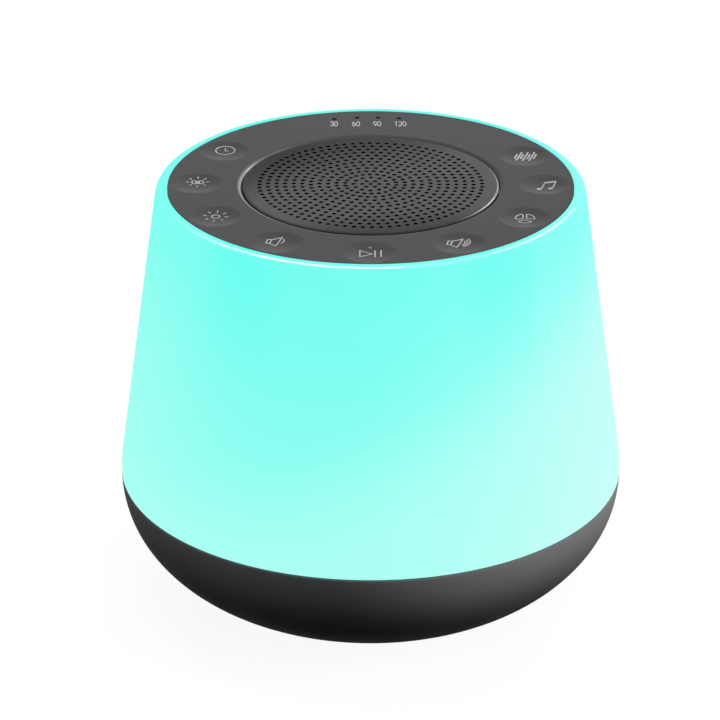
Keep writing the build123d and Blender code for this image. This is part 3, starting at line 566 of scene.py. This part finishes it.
def shade_profile():
    """Outline (radius, height): belly arc, leaning wall, rim fillet, panel's rebate, ledge, inner wall,
    spigot and the foot's soft edge."""
    low, soft = SEAM_Z + SEAM_GAP / 2, 0.12
    start = math.asin((low + soft - SEAM_Z) / BELLY_R)
    belly = corner(SEAM_R - BELLY_R, SEAM_Z, BELLY_R, math.degrees(start), math.degrees(LEAN), 14)
    # the fillet's middle lies RIM_FILLET inside both the leaning wall and the top
    mid_z = TOP_Z - RIM_FILLET
    mid_r = wall_radius(mid_z) - RIM_FILLET / math.cos(LEAN)
    fillet = corner(mid_r, mid_z, RIM_FILLET, math.degrees(LEAN), 90, 22)
    wall_z = np.linspace(belly[-1, 1], fillet[0, 1], 24)[1:-1]
    wall = np.stack([wall_radius(wall_z), wall_z], -1)
    rebate_r, lip = PANEL_R + 0.2, 0.15
    edge = corner(rebate_r + lip, TOP_Z - lip, lip, 90, 180, 5)
    ledge_r, inner_r = rebate_r - 0.9, SEAM_R - SHADE_WALL
    spigot_r, spigot_z = inner_r + 1.1, SEAM_Z - SPIGOT
    inside = [
        (rebate_r, PANEL_UNDER), (ledge_r, PANEL_UNDER), (ledge_r, LEDGE_UNDER),
        (wall_radius(LEDGE_UNDER) - SHADE_WALL, LEDGE_UNDER), (inner_r, low), (inner_r, spigot_z),
        (spigot_r, spigot_z), (spigot_r, low),
    ]
    foot = corner(SEAM_R - soft - 0.0003, low + soft, soft, -90, -15, 4)
    return np.concatenate([belly, wall, fillet, edge, inside, foot])


shade = put("shade_skin", turned(shade_profile(), 360), FINISHES["shade_plastic"], 28)
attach(shade, "housing")
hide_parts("shade")


# ------------------------------------------------------------------ bowl


def bowl_side(inset, count):
    """Side of the bowl, inset by the wall's thickness for its inside: a cubic curve that leaves the seam
    straight down and comes to the floor level."""
    floor, floor_r = UNDER_Z + inset, UNDER_R - inset / 2
    seam_r, turn_z = SEAM_R - inset, SEAM_Z - 19.6 + inset / 2
    return bezier([(seam_r, SEAM_Z), (seam_r, turn_z), (floor_r + 6.0, floor), (floor_r, floor)], count)


def windowed(profile):
    """Turned surface without the cells behind the socket, and the loop of grid points round that window."""
    points, quads = turned(profile, ROUND, closed=False)
    rows = np.where(np.abs(profile[:, 1] - PORT_Z) < WINDOW_HALF)[0]
    first, last = rows[0] - 1, rows[-1] + 1
    left, right = ROUND // 4 - WINDOW_STEPS, ROUND // 4 + WINDOW_STEPS
    row, column = np.divmod(np.arange(len(quads)), ROUND)
    gone = (row >= first) & (row < last) & (column >= left) & (column < right)
    grid = points.reshape(len(profile), ROUND, 3)
    loop = np.concatenate([
        grid[first, left:right], grid[first:last, right],
        grid[last, right:left:-1], grid[last:first:-1, left],
    ])
    return (points, np.array(quads)[~gone].tolist()), loop


def depth_at(profile, x, z):
    """Y of a turned surface's back at each (x, z): the root of its radius squared less x squared. The
    radius goes by straight steps between the falling profile's points."""
    order = np.argsort(profile[:, 1])
    return np.sqrt(np.interp(z, profile[order, 1], profile[order, 0]) ** 2 - x**2)


def mouth(loop, profile, width, height, soft=0.0):
    """Rings from the window's loop to a round-ended slot's edge, kept on the turned surface."""
    flat = np.stack([loop[:, 0], loop[:, 2] - PORT_Z], -1)
    way = unit(flat)
    edge = way * (stadium(way, width, height) + soft)[:, None]
    rings = []
    for share in np.linspace(0, 1, 6):
        x, z = (flat * (1 - share) + edge * share).T
        rings.append(np.stack([x, depth_at(profile, x, z + PORT_Z), z + PORT_Z], -1))
    return np.array(rings), way


def slot_ring(way, width, height):
    """The slot's outline at the depth of the recess's floor."""
    edge = way * stadium(way, width, height)[:, None]
    return np.stack([edge[:, 0], np.full(len(way), PORT_Y), edge[:, 1] + PORT_Z], -1)


def bowl_shape():
    """Closed bowl: outside with the socket's recess, foot groove, underside with three screw wells, inside
    with pillars for the screws and posts for the main board."""
    rim, lap, soft, bevel = SEAM_Z - SEAM_GAP / 2, SEAM_Z - SPIGOT, 0.25, 0.25
    side = bowl_side(0.0, 60)
    edge = corner(SEAM_R - soft, rim - soft, soft, 90, 6, 6)
    outer = np.concatenate([[(SEAM_R - 0.5, rim)], edge, side[side[:, 1] < rim - soft]])
    side = bowl_side(BOWL_WALL, 40)
    inside = np.concatenate([[(SEAM_R - BOWL_WALL, lap)], side[side[:, 1] < lap]])

    skin, window = windowed(outer)
    lining, inner_window = windowed(inside)
    around, way = mouth(window, outer, PORT_W, PORT_H, PORT_SOFT)
    around_in, way_in = mouth(inner_window, inside, SOCKET_W, SOCKET_H)

    def sunk(points):
        """Depth of the recess's floor: flat, but just inside the bowl where its side curves away below."""
        return np.minimum(PORT_Y, depth_at(outer, points[:, 0], points[:, 2]) - 0.03)

    floor = slot_ring(way, PORT_W, PORT_H)
    floor[:, 1] = sunk(floor)
    rounded = floor.copy()
    rounded[:, 1] = np.maximum(depth_at(outer, floor[:, 0], floor[:, 2]) - PORT_SOFT, floor[:, 1])
    wall = np.array([around[-1], rounded, floor])
    # the inner window has its own count of points, so a flat fill joins its outline to the outer one
    edge_in = slot_ring(way_in, SOCKET_W, SOCKET_H)
    filled, tris = flat_fill([ring[:, [0, 2, 1]] for ring in (floor, edge_in)])
    recess_floor = filled[:, [0, 2, 1]]
    recess_floor[:, 1] = sunk(recess_floor)
    hole = np.array([edge_in, around_in[-1]])

    top_lap = turned([(SEAM_R - 0.5, rim), (LAP_OUT, rim), (LAP_OUT, lap), (LAP_IN, lap)], closed=False)
    groove = turned([
        (UNDER_R, UNDER_Z), (GROOVE_OUT, UNDER_Z), (GROOVE_OUT, GROOVE_TOP),
        (GROOVE_IN, GROOVE_TOP), (GROOVE_IN, UNDER_Z), (SOLE_IN, UNDER_Z),
    ], closed=False)
    wells = [at_angle(SCREW_CIRCLE_R, a) for a in (90, 210, 330)]
    mouths = [circle(SCREW_WELL_R + bevel, 48, UNDER_Z, w) for w in wells]
    under = flat_fill([circle(SOLE_IN, ROUND, UNDER_Z)] + mouths)
    floor_r, floor_top = inside[-1]
    feet = [circle(PILLAR_R, 48, floor_top, w) for w in wells]
    inner_floor = flat_fill([circle(floor_r, ROUND, floor_top)] + feet)
    bore = [
        (SCREW_WELL_R + bevel, UNDER_Z), (SCREW_WELL_R, UNDER_Z + bevel), (SCREW_WELL_R, SCREW_SEAT_Z),
        (SHANK_HOLE_R, SCREW_SEAT_Z), (SHANK_HOLE_R, DECK_UNDER), (PILLAR_R, DECK_UNDER),
        (PILLAR_R, floor_top),
    ]
    post = [
        (0, POST_FOOT), (POST_R, POST_FOOT), (POST_R, POST_TOP),
        (PILOT_R, POST_TOP), (PILOT_R, PILOT_END), (0, PILOT_END),
    ]
    bores = [turned(bore, 48, closed=False, centre=w) for w in wells]
    posts = [turned(post, 32, closed=False, centre=at_angle(POST_CIRCLE_R, a)) for a in (30, 150, 270)]
    return joined(
        skin, lining, lofted(around), lofted(around_in), lofted(wall), (recess_floor, tris), lofted(hole),
        top_lap, groove, under, inner_floor, *bores, *posts,
    )


bowl = put("bowl_skin", bowl_shape(), FINISHES["bowl_plastic"], 40)
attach(bowl, "housing")
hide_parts("base_shell")


def foot_profile():
    """Section of the foot ring: flat sole with soft edges, a little narrower than its groove."""
    out, inner, soft = GROOVE_OUT - 0.1, GROOVE_IN + 0.1, 0.5
    outside = corner(out - soft, soft, soft, -90, 0, 6)
    inside = corner(inner + soft, soft, soft, 180, 270, 6)
    return np.concatenate([outside, [(out, GROOVE_TOP), (inner, GROOVE_TOP)], inside])


foot = put("foot_pad", turned(foot_profile()), FINISHES["foot_rubber"])
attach(foot, "housing")
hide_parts("foot_ring")


# ------------------------------------------------------------------ panel


KEY_CENTRES = {name: at_angle(KEY_CIRCLE_R, a) for name, a in KEY_ANGLES.items()}


def panel_shape():
    """Flat ring with a soft lip round the grille, a fine outer bevel, a round well for each key and light,
    and bosses that stand on the control board."""
    top, under, bevel, soft = PANEL_TOP, PANEL_UNDER, PANEL_BEVEL, 0.06
    flat_out = PANEL_R - 0.28
    lip = rolled(BORE_EDGE, -1, top, BORE_ROLL)
    inner = turned(np.concatenate([[(PANEL_FLAT_R, top)], lip, [(BORE_EDGE, under)]]), closed=False)
    rim = corner(PANEL_R - bevel, top - bevel, bevel, 90, 0, 5)
    outer = turned(np.concatenate([[(flat_out, top)], rim, [(PANEL_R, under)]]), closed=False)
    wells = [circle(SKIN_R, SKIN_POINTS, top, c) for c in KEY_CENTRES.values()]
    wells_low = [well - [0, 0, PANEL_T] for well in wells]
    lights, necks, lights_low = (
        [circle(r, 24, z, at_angle(TIMER_CIRCLE_R, a)) for a in TIMER_ANGLES]
        for r, z in ((LIGHT_HOLE_R + soft, top), (LIGHT_HOLE_R, top - soft), (LIGHT_HOLE_R, under))
    )
    feet = [circle(BOSS_R, 32, under, at_angle(BOSS_CIRCLE_R, a)) for a in BOSS_ANGLES]
    face = flat_fill([circle(flat_out, ROUND, top), circle(PANEL_FLAT_R, ROUND, top)] + wells + lights)
    edges = [circle(PANEL_R, ROUND, under), circle(BORE_EDGE, ROUND, under)]
    back = flat_fill(edges + wells_low + lights_low + feet)
    walls = [lofted(np.array(rings)) for rings in zip(wells, wells_low)]
    holes = [lofted(np.array(rings)) for rings in zip(lights, necks, lights_low)]
    foot_z, pilot_z = CONTROL_BOARD_TOP, CONTROL_BOARD_TOP + 4
    stem = [(BOSS_R, under), (BOSS_R, foot_z), (PILOT_R, foot_z), (PILOT_R, pilot_z), (0, pilot_z)]
    stems = [turned(stem, 32, closed=False, centre=at_angle(BOSS_CIRCLE_R, a)) for a in BOSS_ANGLES]
    return joined(inner, outer, face, back, *walls, *holes, *stems)


panel = put("panel_face", panel_shape(), FINISHES["panel_plastic"], 40)
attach(panel, "housing")
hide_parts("panel")


# ------------------------------------------------------------------ keys


def dish_drop(distance):
    """How far a key's face lies below the panel: a shallow bowl whose edge eases out level."""
    left = np.clip(1 - (distance / DISH_R) ** 2, 0, 1)
    ease = 0.3
    return DISH_DEPTH * (1 + ease) * left**2 / (left + ease)


def key_shape(centre):
    """Key skin turned about its own middle: dished face, thin edge, and a stem down to the plunger."""
    r = SKIN_R * np.linspace(0, 1, 34) ** 0.8
    face = np.stack([r, PANEL_TOP - dish_drop(r)], -1)
    stem = [(SKIN_R, SKIN_EDGE_Z), (STEM_ROOT_R, STEM_ROOT_Z), (STEM_R, PAD_BOTTOM), (0, PAD_BOTTOM)]
    return turned(np.concatenate([face, stem]), SKIN_POINTS, closed=False, centre=centre)


def on_key(piece):
    """The piece's place applied to its mesh's points."""
    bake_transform(piece)


for name, centre in KEY_CENTRES.items():
    skin = put(f"key_skin_{name}", key_shape(centre), FINISHES["panel_plastic"], 50)
    on_key(skin)
    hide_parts(f"key_{name}")


# ------------------------------------------------------------------ signs and numbers


def even(path, step=0.3, closed=False):
    """Points at even steps along a path of straight pieces, its corners kept."""
    path = np.array(path, float)
    if closed:
        path = np.vstack([path, path[:1]])
    out = []
    for a, b in zip(path[:-1], path[1:]):
        n = max(1, int(np.ceil(np.linalg.norm(b - a) / step)))
        out.append(a + (b - a) * (np.arange(n) / n)[:, None])
    if not closed:
        out.append(path[-1:])
    return np.concatenate(out)


def bow(x, y, rx, ry, start, end, count=16, turn=0.0):
    """Part of an ellipse round (x, y), angles in degrees."""
    a, t = np.radians(np.linspace(start, end, count)), math.radians(turn)
    px, py = rx * np.cos(a), ry * np.sin(a)
    return np.stack([x + px * math.cos(t) - py * math.sin(t), y + px * math.sin(t) + py * math.cos(t)], -1)


def band(path, width, closed=False):
    """Section of a flat stroke along a path: each point steps half the width both ways along its mitre,
    the mean of its two normals made longer by one over its cosine to them."""
    p = np.asarray(path, float)
    ahead = np.roll(p, -1, 0) - p
    behind = p - np.roll(p, 1, 0)
    if not closed:
        ahead[-1], behind[0] = behind[-1], ahead[0]
    n1, n2 = (unit(way)[:, ::-1] * [-1, 1] for way in (behind, ahead))
    mitre = unit(n1 + n2)
    mitre = mitre / np.maximum((mitre * n1).sum(1, keepdims=True), 0.45)
    return p + mitre * width / 2, p - mitre * width / 2, closed


def inked(bands, height):
    """Thin solid strokes on a surface: four corners of the section carried along each path, ends closed."""
    patches = []
    for left, right, closed in bands:
        corners = ((left, PRINT_PROUD), (right, PRINT_PROUD), (right, -PRINT_SUNK), (left, -PRINT_SUNK))
        section = [np.c_[side, height(*side.T) + lift] for side, lift in corners]
        points, faces = lofted(np.stack(section, 1), round_rows=closed)
        if not closed:
            last = len(points) - 4
            faces = faces + [[0, 1, 2, 3], [last + 3, last + 2, last + 1, last]]
        patches.append((points, faces))
    return joined(*patches)


def disc(x, y, rx, ry, turn=0.0):
    """A filled oval as a stroke that is as wide as the oval at each point along it."""
    t = np.linspace(0.06, math.pi - 0.06, 14)
    along, half = -np.cos(t) * rx, np.sin(t) * ry
    a = math.radians(turn)
    way, across = np.array([math.cos(a), math.sin(a)]), np.array([-math.sin(a), math.cos(a)])
    middle = np.array([x, y]) + along[:, None] * way
    return middle + half[:, None] * across, middle - half[:, None] * across, False


def rays(count, inner, outer, width, first=90.0):
    """Straight strokes at even angles round the middle, from the inner radius to the outer."""
    made = []
    for a in np.radians(first + np.arange(count) * 360 / count):
        way = np.array([math.cos(a), math.sin(a)])
        made.append(band(even([way * inner, way * outer]), width))
    return made


def petal(start, end):
    """One fan blade's outline: a wedge with rounded corners between two angles, narrow at the hub."""
    middle, soft = (start + end) / 2, 9
    inner = bow(0, 0, 0.62, 0.62, middle - 22, middle + 22, 5)
    outer = bow(0, 0, 2.05, 2.4, end - soft, start + soft, 14)
    shoulders = [bow(0, 0, 1.85, 2.2, a, a, 1) for a in (end, start)]
    return band(np.concatenate([inner, shoulders[0], outer, shoulders[1]]), 0.24, True)


def speaker_sign(arcs):
    """Small leaning loudspeaker, a box and a cone, with sound arcs to its right."""
    strokes = [
        band(even([(-1.25, 1.05), (-2.0, 0.95), (-2.35, -0.85), (-1.65, -0.95)]), 0.24),
        band(even([(-1.6, -0.9), (-1.1, 1.0), (1.05, 2.05), (-0.3, -2.1)], closed=True), 0.25, True),
    ]
    for i in range(arcs):
        reach = 0.82 + 0.42 * i
        strokes.append(band(bow(0.62 + 0.12 * i, 0.35, reach, reach * 1.3, -62, 66, 14, -18), 0.25))
    return strokes


SIGNS = {
    "timer": ((-32.4, 20.65), [
        band(bow(0, 0, 2.12, 2.2, 0, 352.5, 48), 0.25, True),
        band(even([(0, 1.45), (0, -0.15), (0.85, -0.15)]), 0.24),
    ]),
    "colour": ((-37.7, 1.9), rays(8, 1.8, 2.6, 0.25) + [
        band(bow(-0.72, 0, 0.55, 0.78, 0, 345, 24), 0.26, True),
        band(bow(0.72, 0, 0.55, 0.78, 0, 345, 24), 0.26, True),
        band(bow(0, -0.1, 0.42, 0.6, 0, 345, 20), 0.2, True),
    ]),
    "brightness": ((-33.0, -17.4), rays(8, 1.9, 2.75, 0.25, 82) + [
        band(bow(0, 0, 0.86, 0.86, 0, 345, 24), 0.27, True),
    ]),
    "volume_down": ((-19.6, -31.15), speaker_sign(1)),
    "play": ((-0.25, -37.55), [
        band(even([(-2.0, 1.6), (-2.0, -1.5), (0.6, 0.05)], closed=True), 0.24, True),
        band(even([(1.15, 1.7), (1.15, -1.75)]), 0.3),
        band(even([(2.4, 1.7), (2.4, -1.75)]), 0.3),
    ]),
    "volume_up": ((18.25, -31.95), speaker_sign(3)),
    "fan": ((32.8, -18.6), [petal(102, 188), petal(-8, 76), petal(222, 314)]),
    "music": ((38.1, -0.35), [
        band(even([(-0.05, 2.0), (2.35, 2.35)]), 0.66),
        band(even([(-0.1, 2.1), (-1.15, -1.5)]), 0.25),
        band(even([(2.25, 2.4), (1.35, -1.1)]), 0.25),
        disc(-1.62, -1.65, 0.52, 0.5, 8), disc(0.9, -1.2, 0.52, 0.5, 8),
    ]),
    "sounds": ((34.3, 17.05), [
        band(even([(x - 0.31 * half, -half + drop), (x + 0.31 * half, half + drop)]), 0.38)
        for x, half, drop in (
            (-2.1, 1.25, 0.1), (-1.42, 2.4, 0.0), (-0.75, 1.3, 0.05), (-0.02, 2.4, -0.05),
            (0.72, 1.3, -0.05), (1.42, 2.4, -0.1), (2.12, 1.3, -0.1),
        )
    ]),
}

for name, (place, strokes) in SIGNS.items():
    kx, ky = KEY_CENTRES[name]
    moved = [(left + place, right + place, closed) for left, right, closed in strokes]
    shape = inked(moved, lambda x, y: PANEL_TOP - dish_drop(np.hypot(x - kx, y - ky)))
    sign = put(f"sign_{name}", shape, ICON_INK, 60)
    on_key(sign)


def digit(figure):
    """Strokes of one thin upright figure in its box, from the lower left corner."""
    w, h = FIGURE_W, FIGURE_H
    if figure == "0":
        return [(bow(w / 2, h / 2, w / 2, h / 2, 0, 345, 24), True)]
    if figure == "1":
        return [(even([(w * 0.2, h * 0.82), (w * 0.55, h), (w * 0.55, 0)]), False)]
    if figure == "2":
        hook = bow(w / 2, h * 0.7, w / 2, h * 0.3, 165, -35, 14)
        return [(np.concatenate([hook, even([(0.03, 0), (w, 0)])]), False)]
    if figure == "3":
        upper = bow(w / 2, h * 0.75, w * 0.45, h * 0.25, 160, -90, 12)
        lower = bow(w / 2, h * 0.25, w * 0.5, h * 0.25, 90, -160, 12)
        return [(np.concatenate([upper, lower[1:]]), False)]
    loop = bow(w / 2, h * 0.3, w / 2, h * 0.3, 0, 345, 20)
    tail = bow(w * 0.95, h * 0.3, w * 0.95, h * 0.7, 180, 112, 10)
    if figure == "9":
        loop, tail = [w, h] - loop, [w, h] - tail
    return [(loop, True), (tail, False)]


def number_bands(text, middle, line=36.0, stretch=2.2, width=0.14, pitch=0.94):
    """A number's strokes, centred on its light and drawn tall so that it reads well from the front."""
    made = []
    low = line - FIGURE_H * stretch / 2
    for i, figure in enumerate(text):
        place = np.array([middle - (pitch * (len(text) - 1) + FIGURE_W) / 2 + pitch * i, low])
        for path, closed in digit(figure):
            left, right, closed = band(path, width, closed)
            made.append((left * [1, stretch] + place, right * [1, stretch] + place, closed))
    return made


for text, x in (("30", -8.35), ("60", -3.35), ("90", 1.45), ("120", 6.7)):
    shape = inked(number_bands(text, x), lambda x, y: np.full(len(x), PANEL_TOP))
    number = put(f"number_{text}", shape, DIGIT_INK, 60)
    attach(number, "housing")


def lens_shape():
    """Small domed light behind the play sign, on its key's face."""
    x, y = KEY_CENTRES["play"]
    level = PANEL_TOP - float(dish_drop(np.array(LENS_BACK)))
    a = np.radians(np.linspace(90, 0, 6))
    dome = np.stack([LENS_R * np.cos(a), level + 0.02 + LENS_RISE * np.sin(a)], -1)
    profile = np.concatenate([dome, [(LENS_R, level - 0.6), (0, level - 0.6)]])
    return turned(profile, 32, closed=False, centre=(x, y + LENS_BACK))


lens = put("play_lens", lens_shape(), LENS_TINT, 50)
on_key(lens)
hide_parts("play_light")


# ------------------------------------------------------------------ grille


def grille_shape():
    """Perforated disc: flat face, rounded edge, bevelled round holes on concentric circles, and below it
    the flange under the panel and the ring round the dust cloth."""
    top, under, bevel = GRILLE_TOP, GRILLE_TOP - GRILLE_T, HOLE_BEVEL
    centres = [(0.0, 0.0)]
    for ring, (count, turn) in enumerate(zip(HOLE_RINGS, HOLE_TURNS), start=1):
        centres += [at_angle(ring * HOLE_PITCH, turn + 360 * i / count) for i in range(count)]
    wide, neck, low = (
        [circle(r, HOLE_SIDES, z, c) for c in centres]
        for r, z in ((HOLE_R + bevel, top), (HOLE_R, top - bevel), (HOLE_R, under))
    )
    face = flat_fill([circle(GRILLE_FLAT_R, ROUND, top)] + wide)
    back = flat_fill([circle(HOLE_FIELD_R, ROUND, under)] + low)
    ring = turned(np.concatenate([
        [(GRILLE_FLAT_R, top), (GRILLE_FLAT_R + 0.3, top)], rolled(GRILLE_RIM, 1, top, GRILLE_ROLL),
        [(GRILLE_RIM, PANEL_UNDER), (FLANGE_R, PANEL_UNDER), (FLANGE_R, LEDGE_UNDER),
         (SKIRT_R, LEDGE_UNDER), (SKIRT_R, SKIRT_LOW), (HOLE_FIELD_R, SKIRT_LOW), (HOLE_FIELD_R, under)],
    ]), closed=False)
    holes = [lofted(np.array(rings)) for rings in zip(wide, neck, low)]
    return joined(face, back, ring, *holes)


grille = put("grille_face", grille_shape(), FINISHES["grille_plastic"], 38)
# painted shade: the holes' walls and the faces below them are near black, standing in for the shade inside
# the holes
painted_hole_shade = dark_moulding("Grille hole walls", (0.003, 0.003, 0.003), 0.02, (0.6, 0.7), 0.0)
grille.data.materials.append(painted_hole_shade)
middles = np.array([face.center[:] for face in grille.data.polygons]) / MM
# the faces inside the ring round the cloth and below the holes' bevels take that painted shade
in_hole = (np.hypot(middles[:, 0], middles[:, 1]) < 25.0) & (middles[:, 2] < GRILLE_TOP - 0.06)
grille.data.polygons.foreach_set("material_index", in_hole.astype(np.int32))
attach(grille, "housing")
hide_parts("grille")


# ------------------------------------------------------------------ stage, lights and camera


def seen_white(tree):
    """1 for rays that come from the eye, straight or by way of a mirror or a clear piece, and 0 for the
    others: the three flags added and cut off at 1."""
    path = tree.nodes.new("ShaderNodeLightPath")
    seen = path.outputs["Is Camera Ray"]
    for flag in ("Is Glossy Ray", "Is Transmission Ray"):
        add = tree.nodes.new("ShaderNodeMath")
        add.operation, add.use_clamp = "ADD", True
        tree.links.new(seen, add.inputs[0])
        tree.links.new(path.outputs[flag], add.inputs[1])
        seen = add.outputs[0]
    return seen


def make_floor():
    """Large pale floor: dark to the lamps, and lifted nearly to white where it is seen."""
    bpy.ops.mesh.primitive_plane_add(size=12.0, location=(0, 0, 0))
    floor = bpy.context.object
    floor.name = "studio_floor"
    f = Finish("Pale floor", Base_Color=(FLOOR_GREY, FLOOR_GREY, FLOOR_GREY, 1), Roughness=0.9,
               Specular_IOR_Level=0.0, Emission_Color=(1, 1, 1, 1))
    f.link(f.math("MULTIPLY", seen_white(f.tree), FLOOR_LIFT), f.shader.inputs["Emission Strength"])
    floor.data.materials.append(f.material)


def make_world():
    """Surroundings that are white where they are seen and dim as a lamp."""
    world = bpy.data.worlds.new("Studio")
    world.use_nodes = True
    tree = world.node_tree
    background = tree.nodes["Background"]
    background.inputs["Color"].default_value = (1, 1, 1, 1)
    strength = tree.nodes.new("ShaderNodeMapRange")
    strength.inputs["To Min"].default_value = WORLD_LEVEL
    strength.inputs["To Max"].default_value = 1.0
    tree.links.new(seen_white(tree), strength.inputs["Value"])
    tree.links.new(strength.outputs["Result"], background.inputs["Strength"])
    bpy.context.scene.world = world


AIM = Vector((0, 0, 0.09))  # what every lamp faces


def soft_light(name, place, width, depth, radiance, along=None):
    """Rectangular soft light whose face has the given brightness: its energy is the brightness times pi
    times its area. Its width may lie along a direction."""
    lamp = bpy.data.lights.new(name, "AREA")
    lamp.shape = "RECTANGLE"
    lamp.size, lamp.size_y = width, depth
    lamp.energy = radiance * math.pi * width * depth
    light = bpy.data.objects.new(name, lamp)
    bpy.context.scene.collection.objects.link(light)
    light.location = place
    back = (Vector(place) - AIM).normalized()
    across = back.orthogonal() if along is None else along
    across = (across - back * across.dot(back)).normalized()
    light.rotation_euler = Matrix((across, back.cross(across), back)).transposed().to_euler()
    return light


def mirrored(turn):
    """Way from the rim at this turn to what it mirrors: twice the normal's share of the sight, less it."""
    t = math.radians(turn)
    sight = np.array([0.0, -math.cos(EYE_HEIGHT), math.sin(EYE_HEIGHT)])
    n = np.array([math.sin(RIM_TIP) * math.sin(t), -math.sin(RIM_TIP) * math.cos(t), math.cos(RIM_TIP)])
    return 2 * n.dot(sight) * n - sight


def bow_of_light(name, turns, radiance, width=0.34, reach=1.1):
    """Chain of soft lights, one for each step of turn round the rim: each stands where that part of the
    rim's fillet mirrors it to the eye."""
    for i, (a, b) in enumerate(zip(turns[:-1], turns[1:])):
        start, end = mirrored(a) * reach, mirrored(b) * reach
        soft_light(f"light_{name}_{i}", Vector((start + end) / 2) + AIM,
                   np.linalg.norm(end - start), width, radiance, Vector(end - start))


make_floor()
make_world()
bow_of_light("left_far", (-58, -48), 1.4)
bow_of_light("left", (-48, -35), 4.0)
bow_of_light("front", (-35, -20, -5, 9), 7.0)
bow_of_light("gap", (9, 22, 38), 0.7)
bow_of_light("right", (38, 56, 76), 4.8, 0.2)
for side_light in (
    soft_light("light_low_back", (0.48, 1.09, 0.25), 0.36, 0.28, 24.0, Vector((1.09, -0.48, 0))),
    soft_light("light_low_right", (1.15, -0.14, 0.30), 0.6, 0.3, 40.0),
    soft_light("light_low_left", (-1.10, -0.15, 0.30), 0.4, 0.3, 6.0),
):
    side_light.visible_glossy = False  # they light the walls and don't show in the polished top
soft_light("light_front", (0.20, -0.80, 0.95), 0.5, 0.3, 7.0)

camera = bpy.data.cameras.new("camera")
camera.sensor_width = 36.0
camera.lens = 173.61
camera.shift_x = -0.01486
camera.clip_start, camera.clip_end = 0.05, 20
eye = bpy.data.objects.new("camera", camera)
eye.location = (0, -0.7002, 0.3810)
eye.rotation_euler = (math.radians(64.99), 0, 0)
bpy.context.scene.collection.objects.link(eye)
bpy.context.scene.camera = eye
bpy.context.scene.view_settings.view_transform = "Standard"
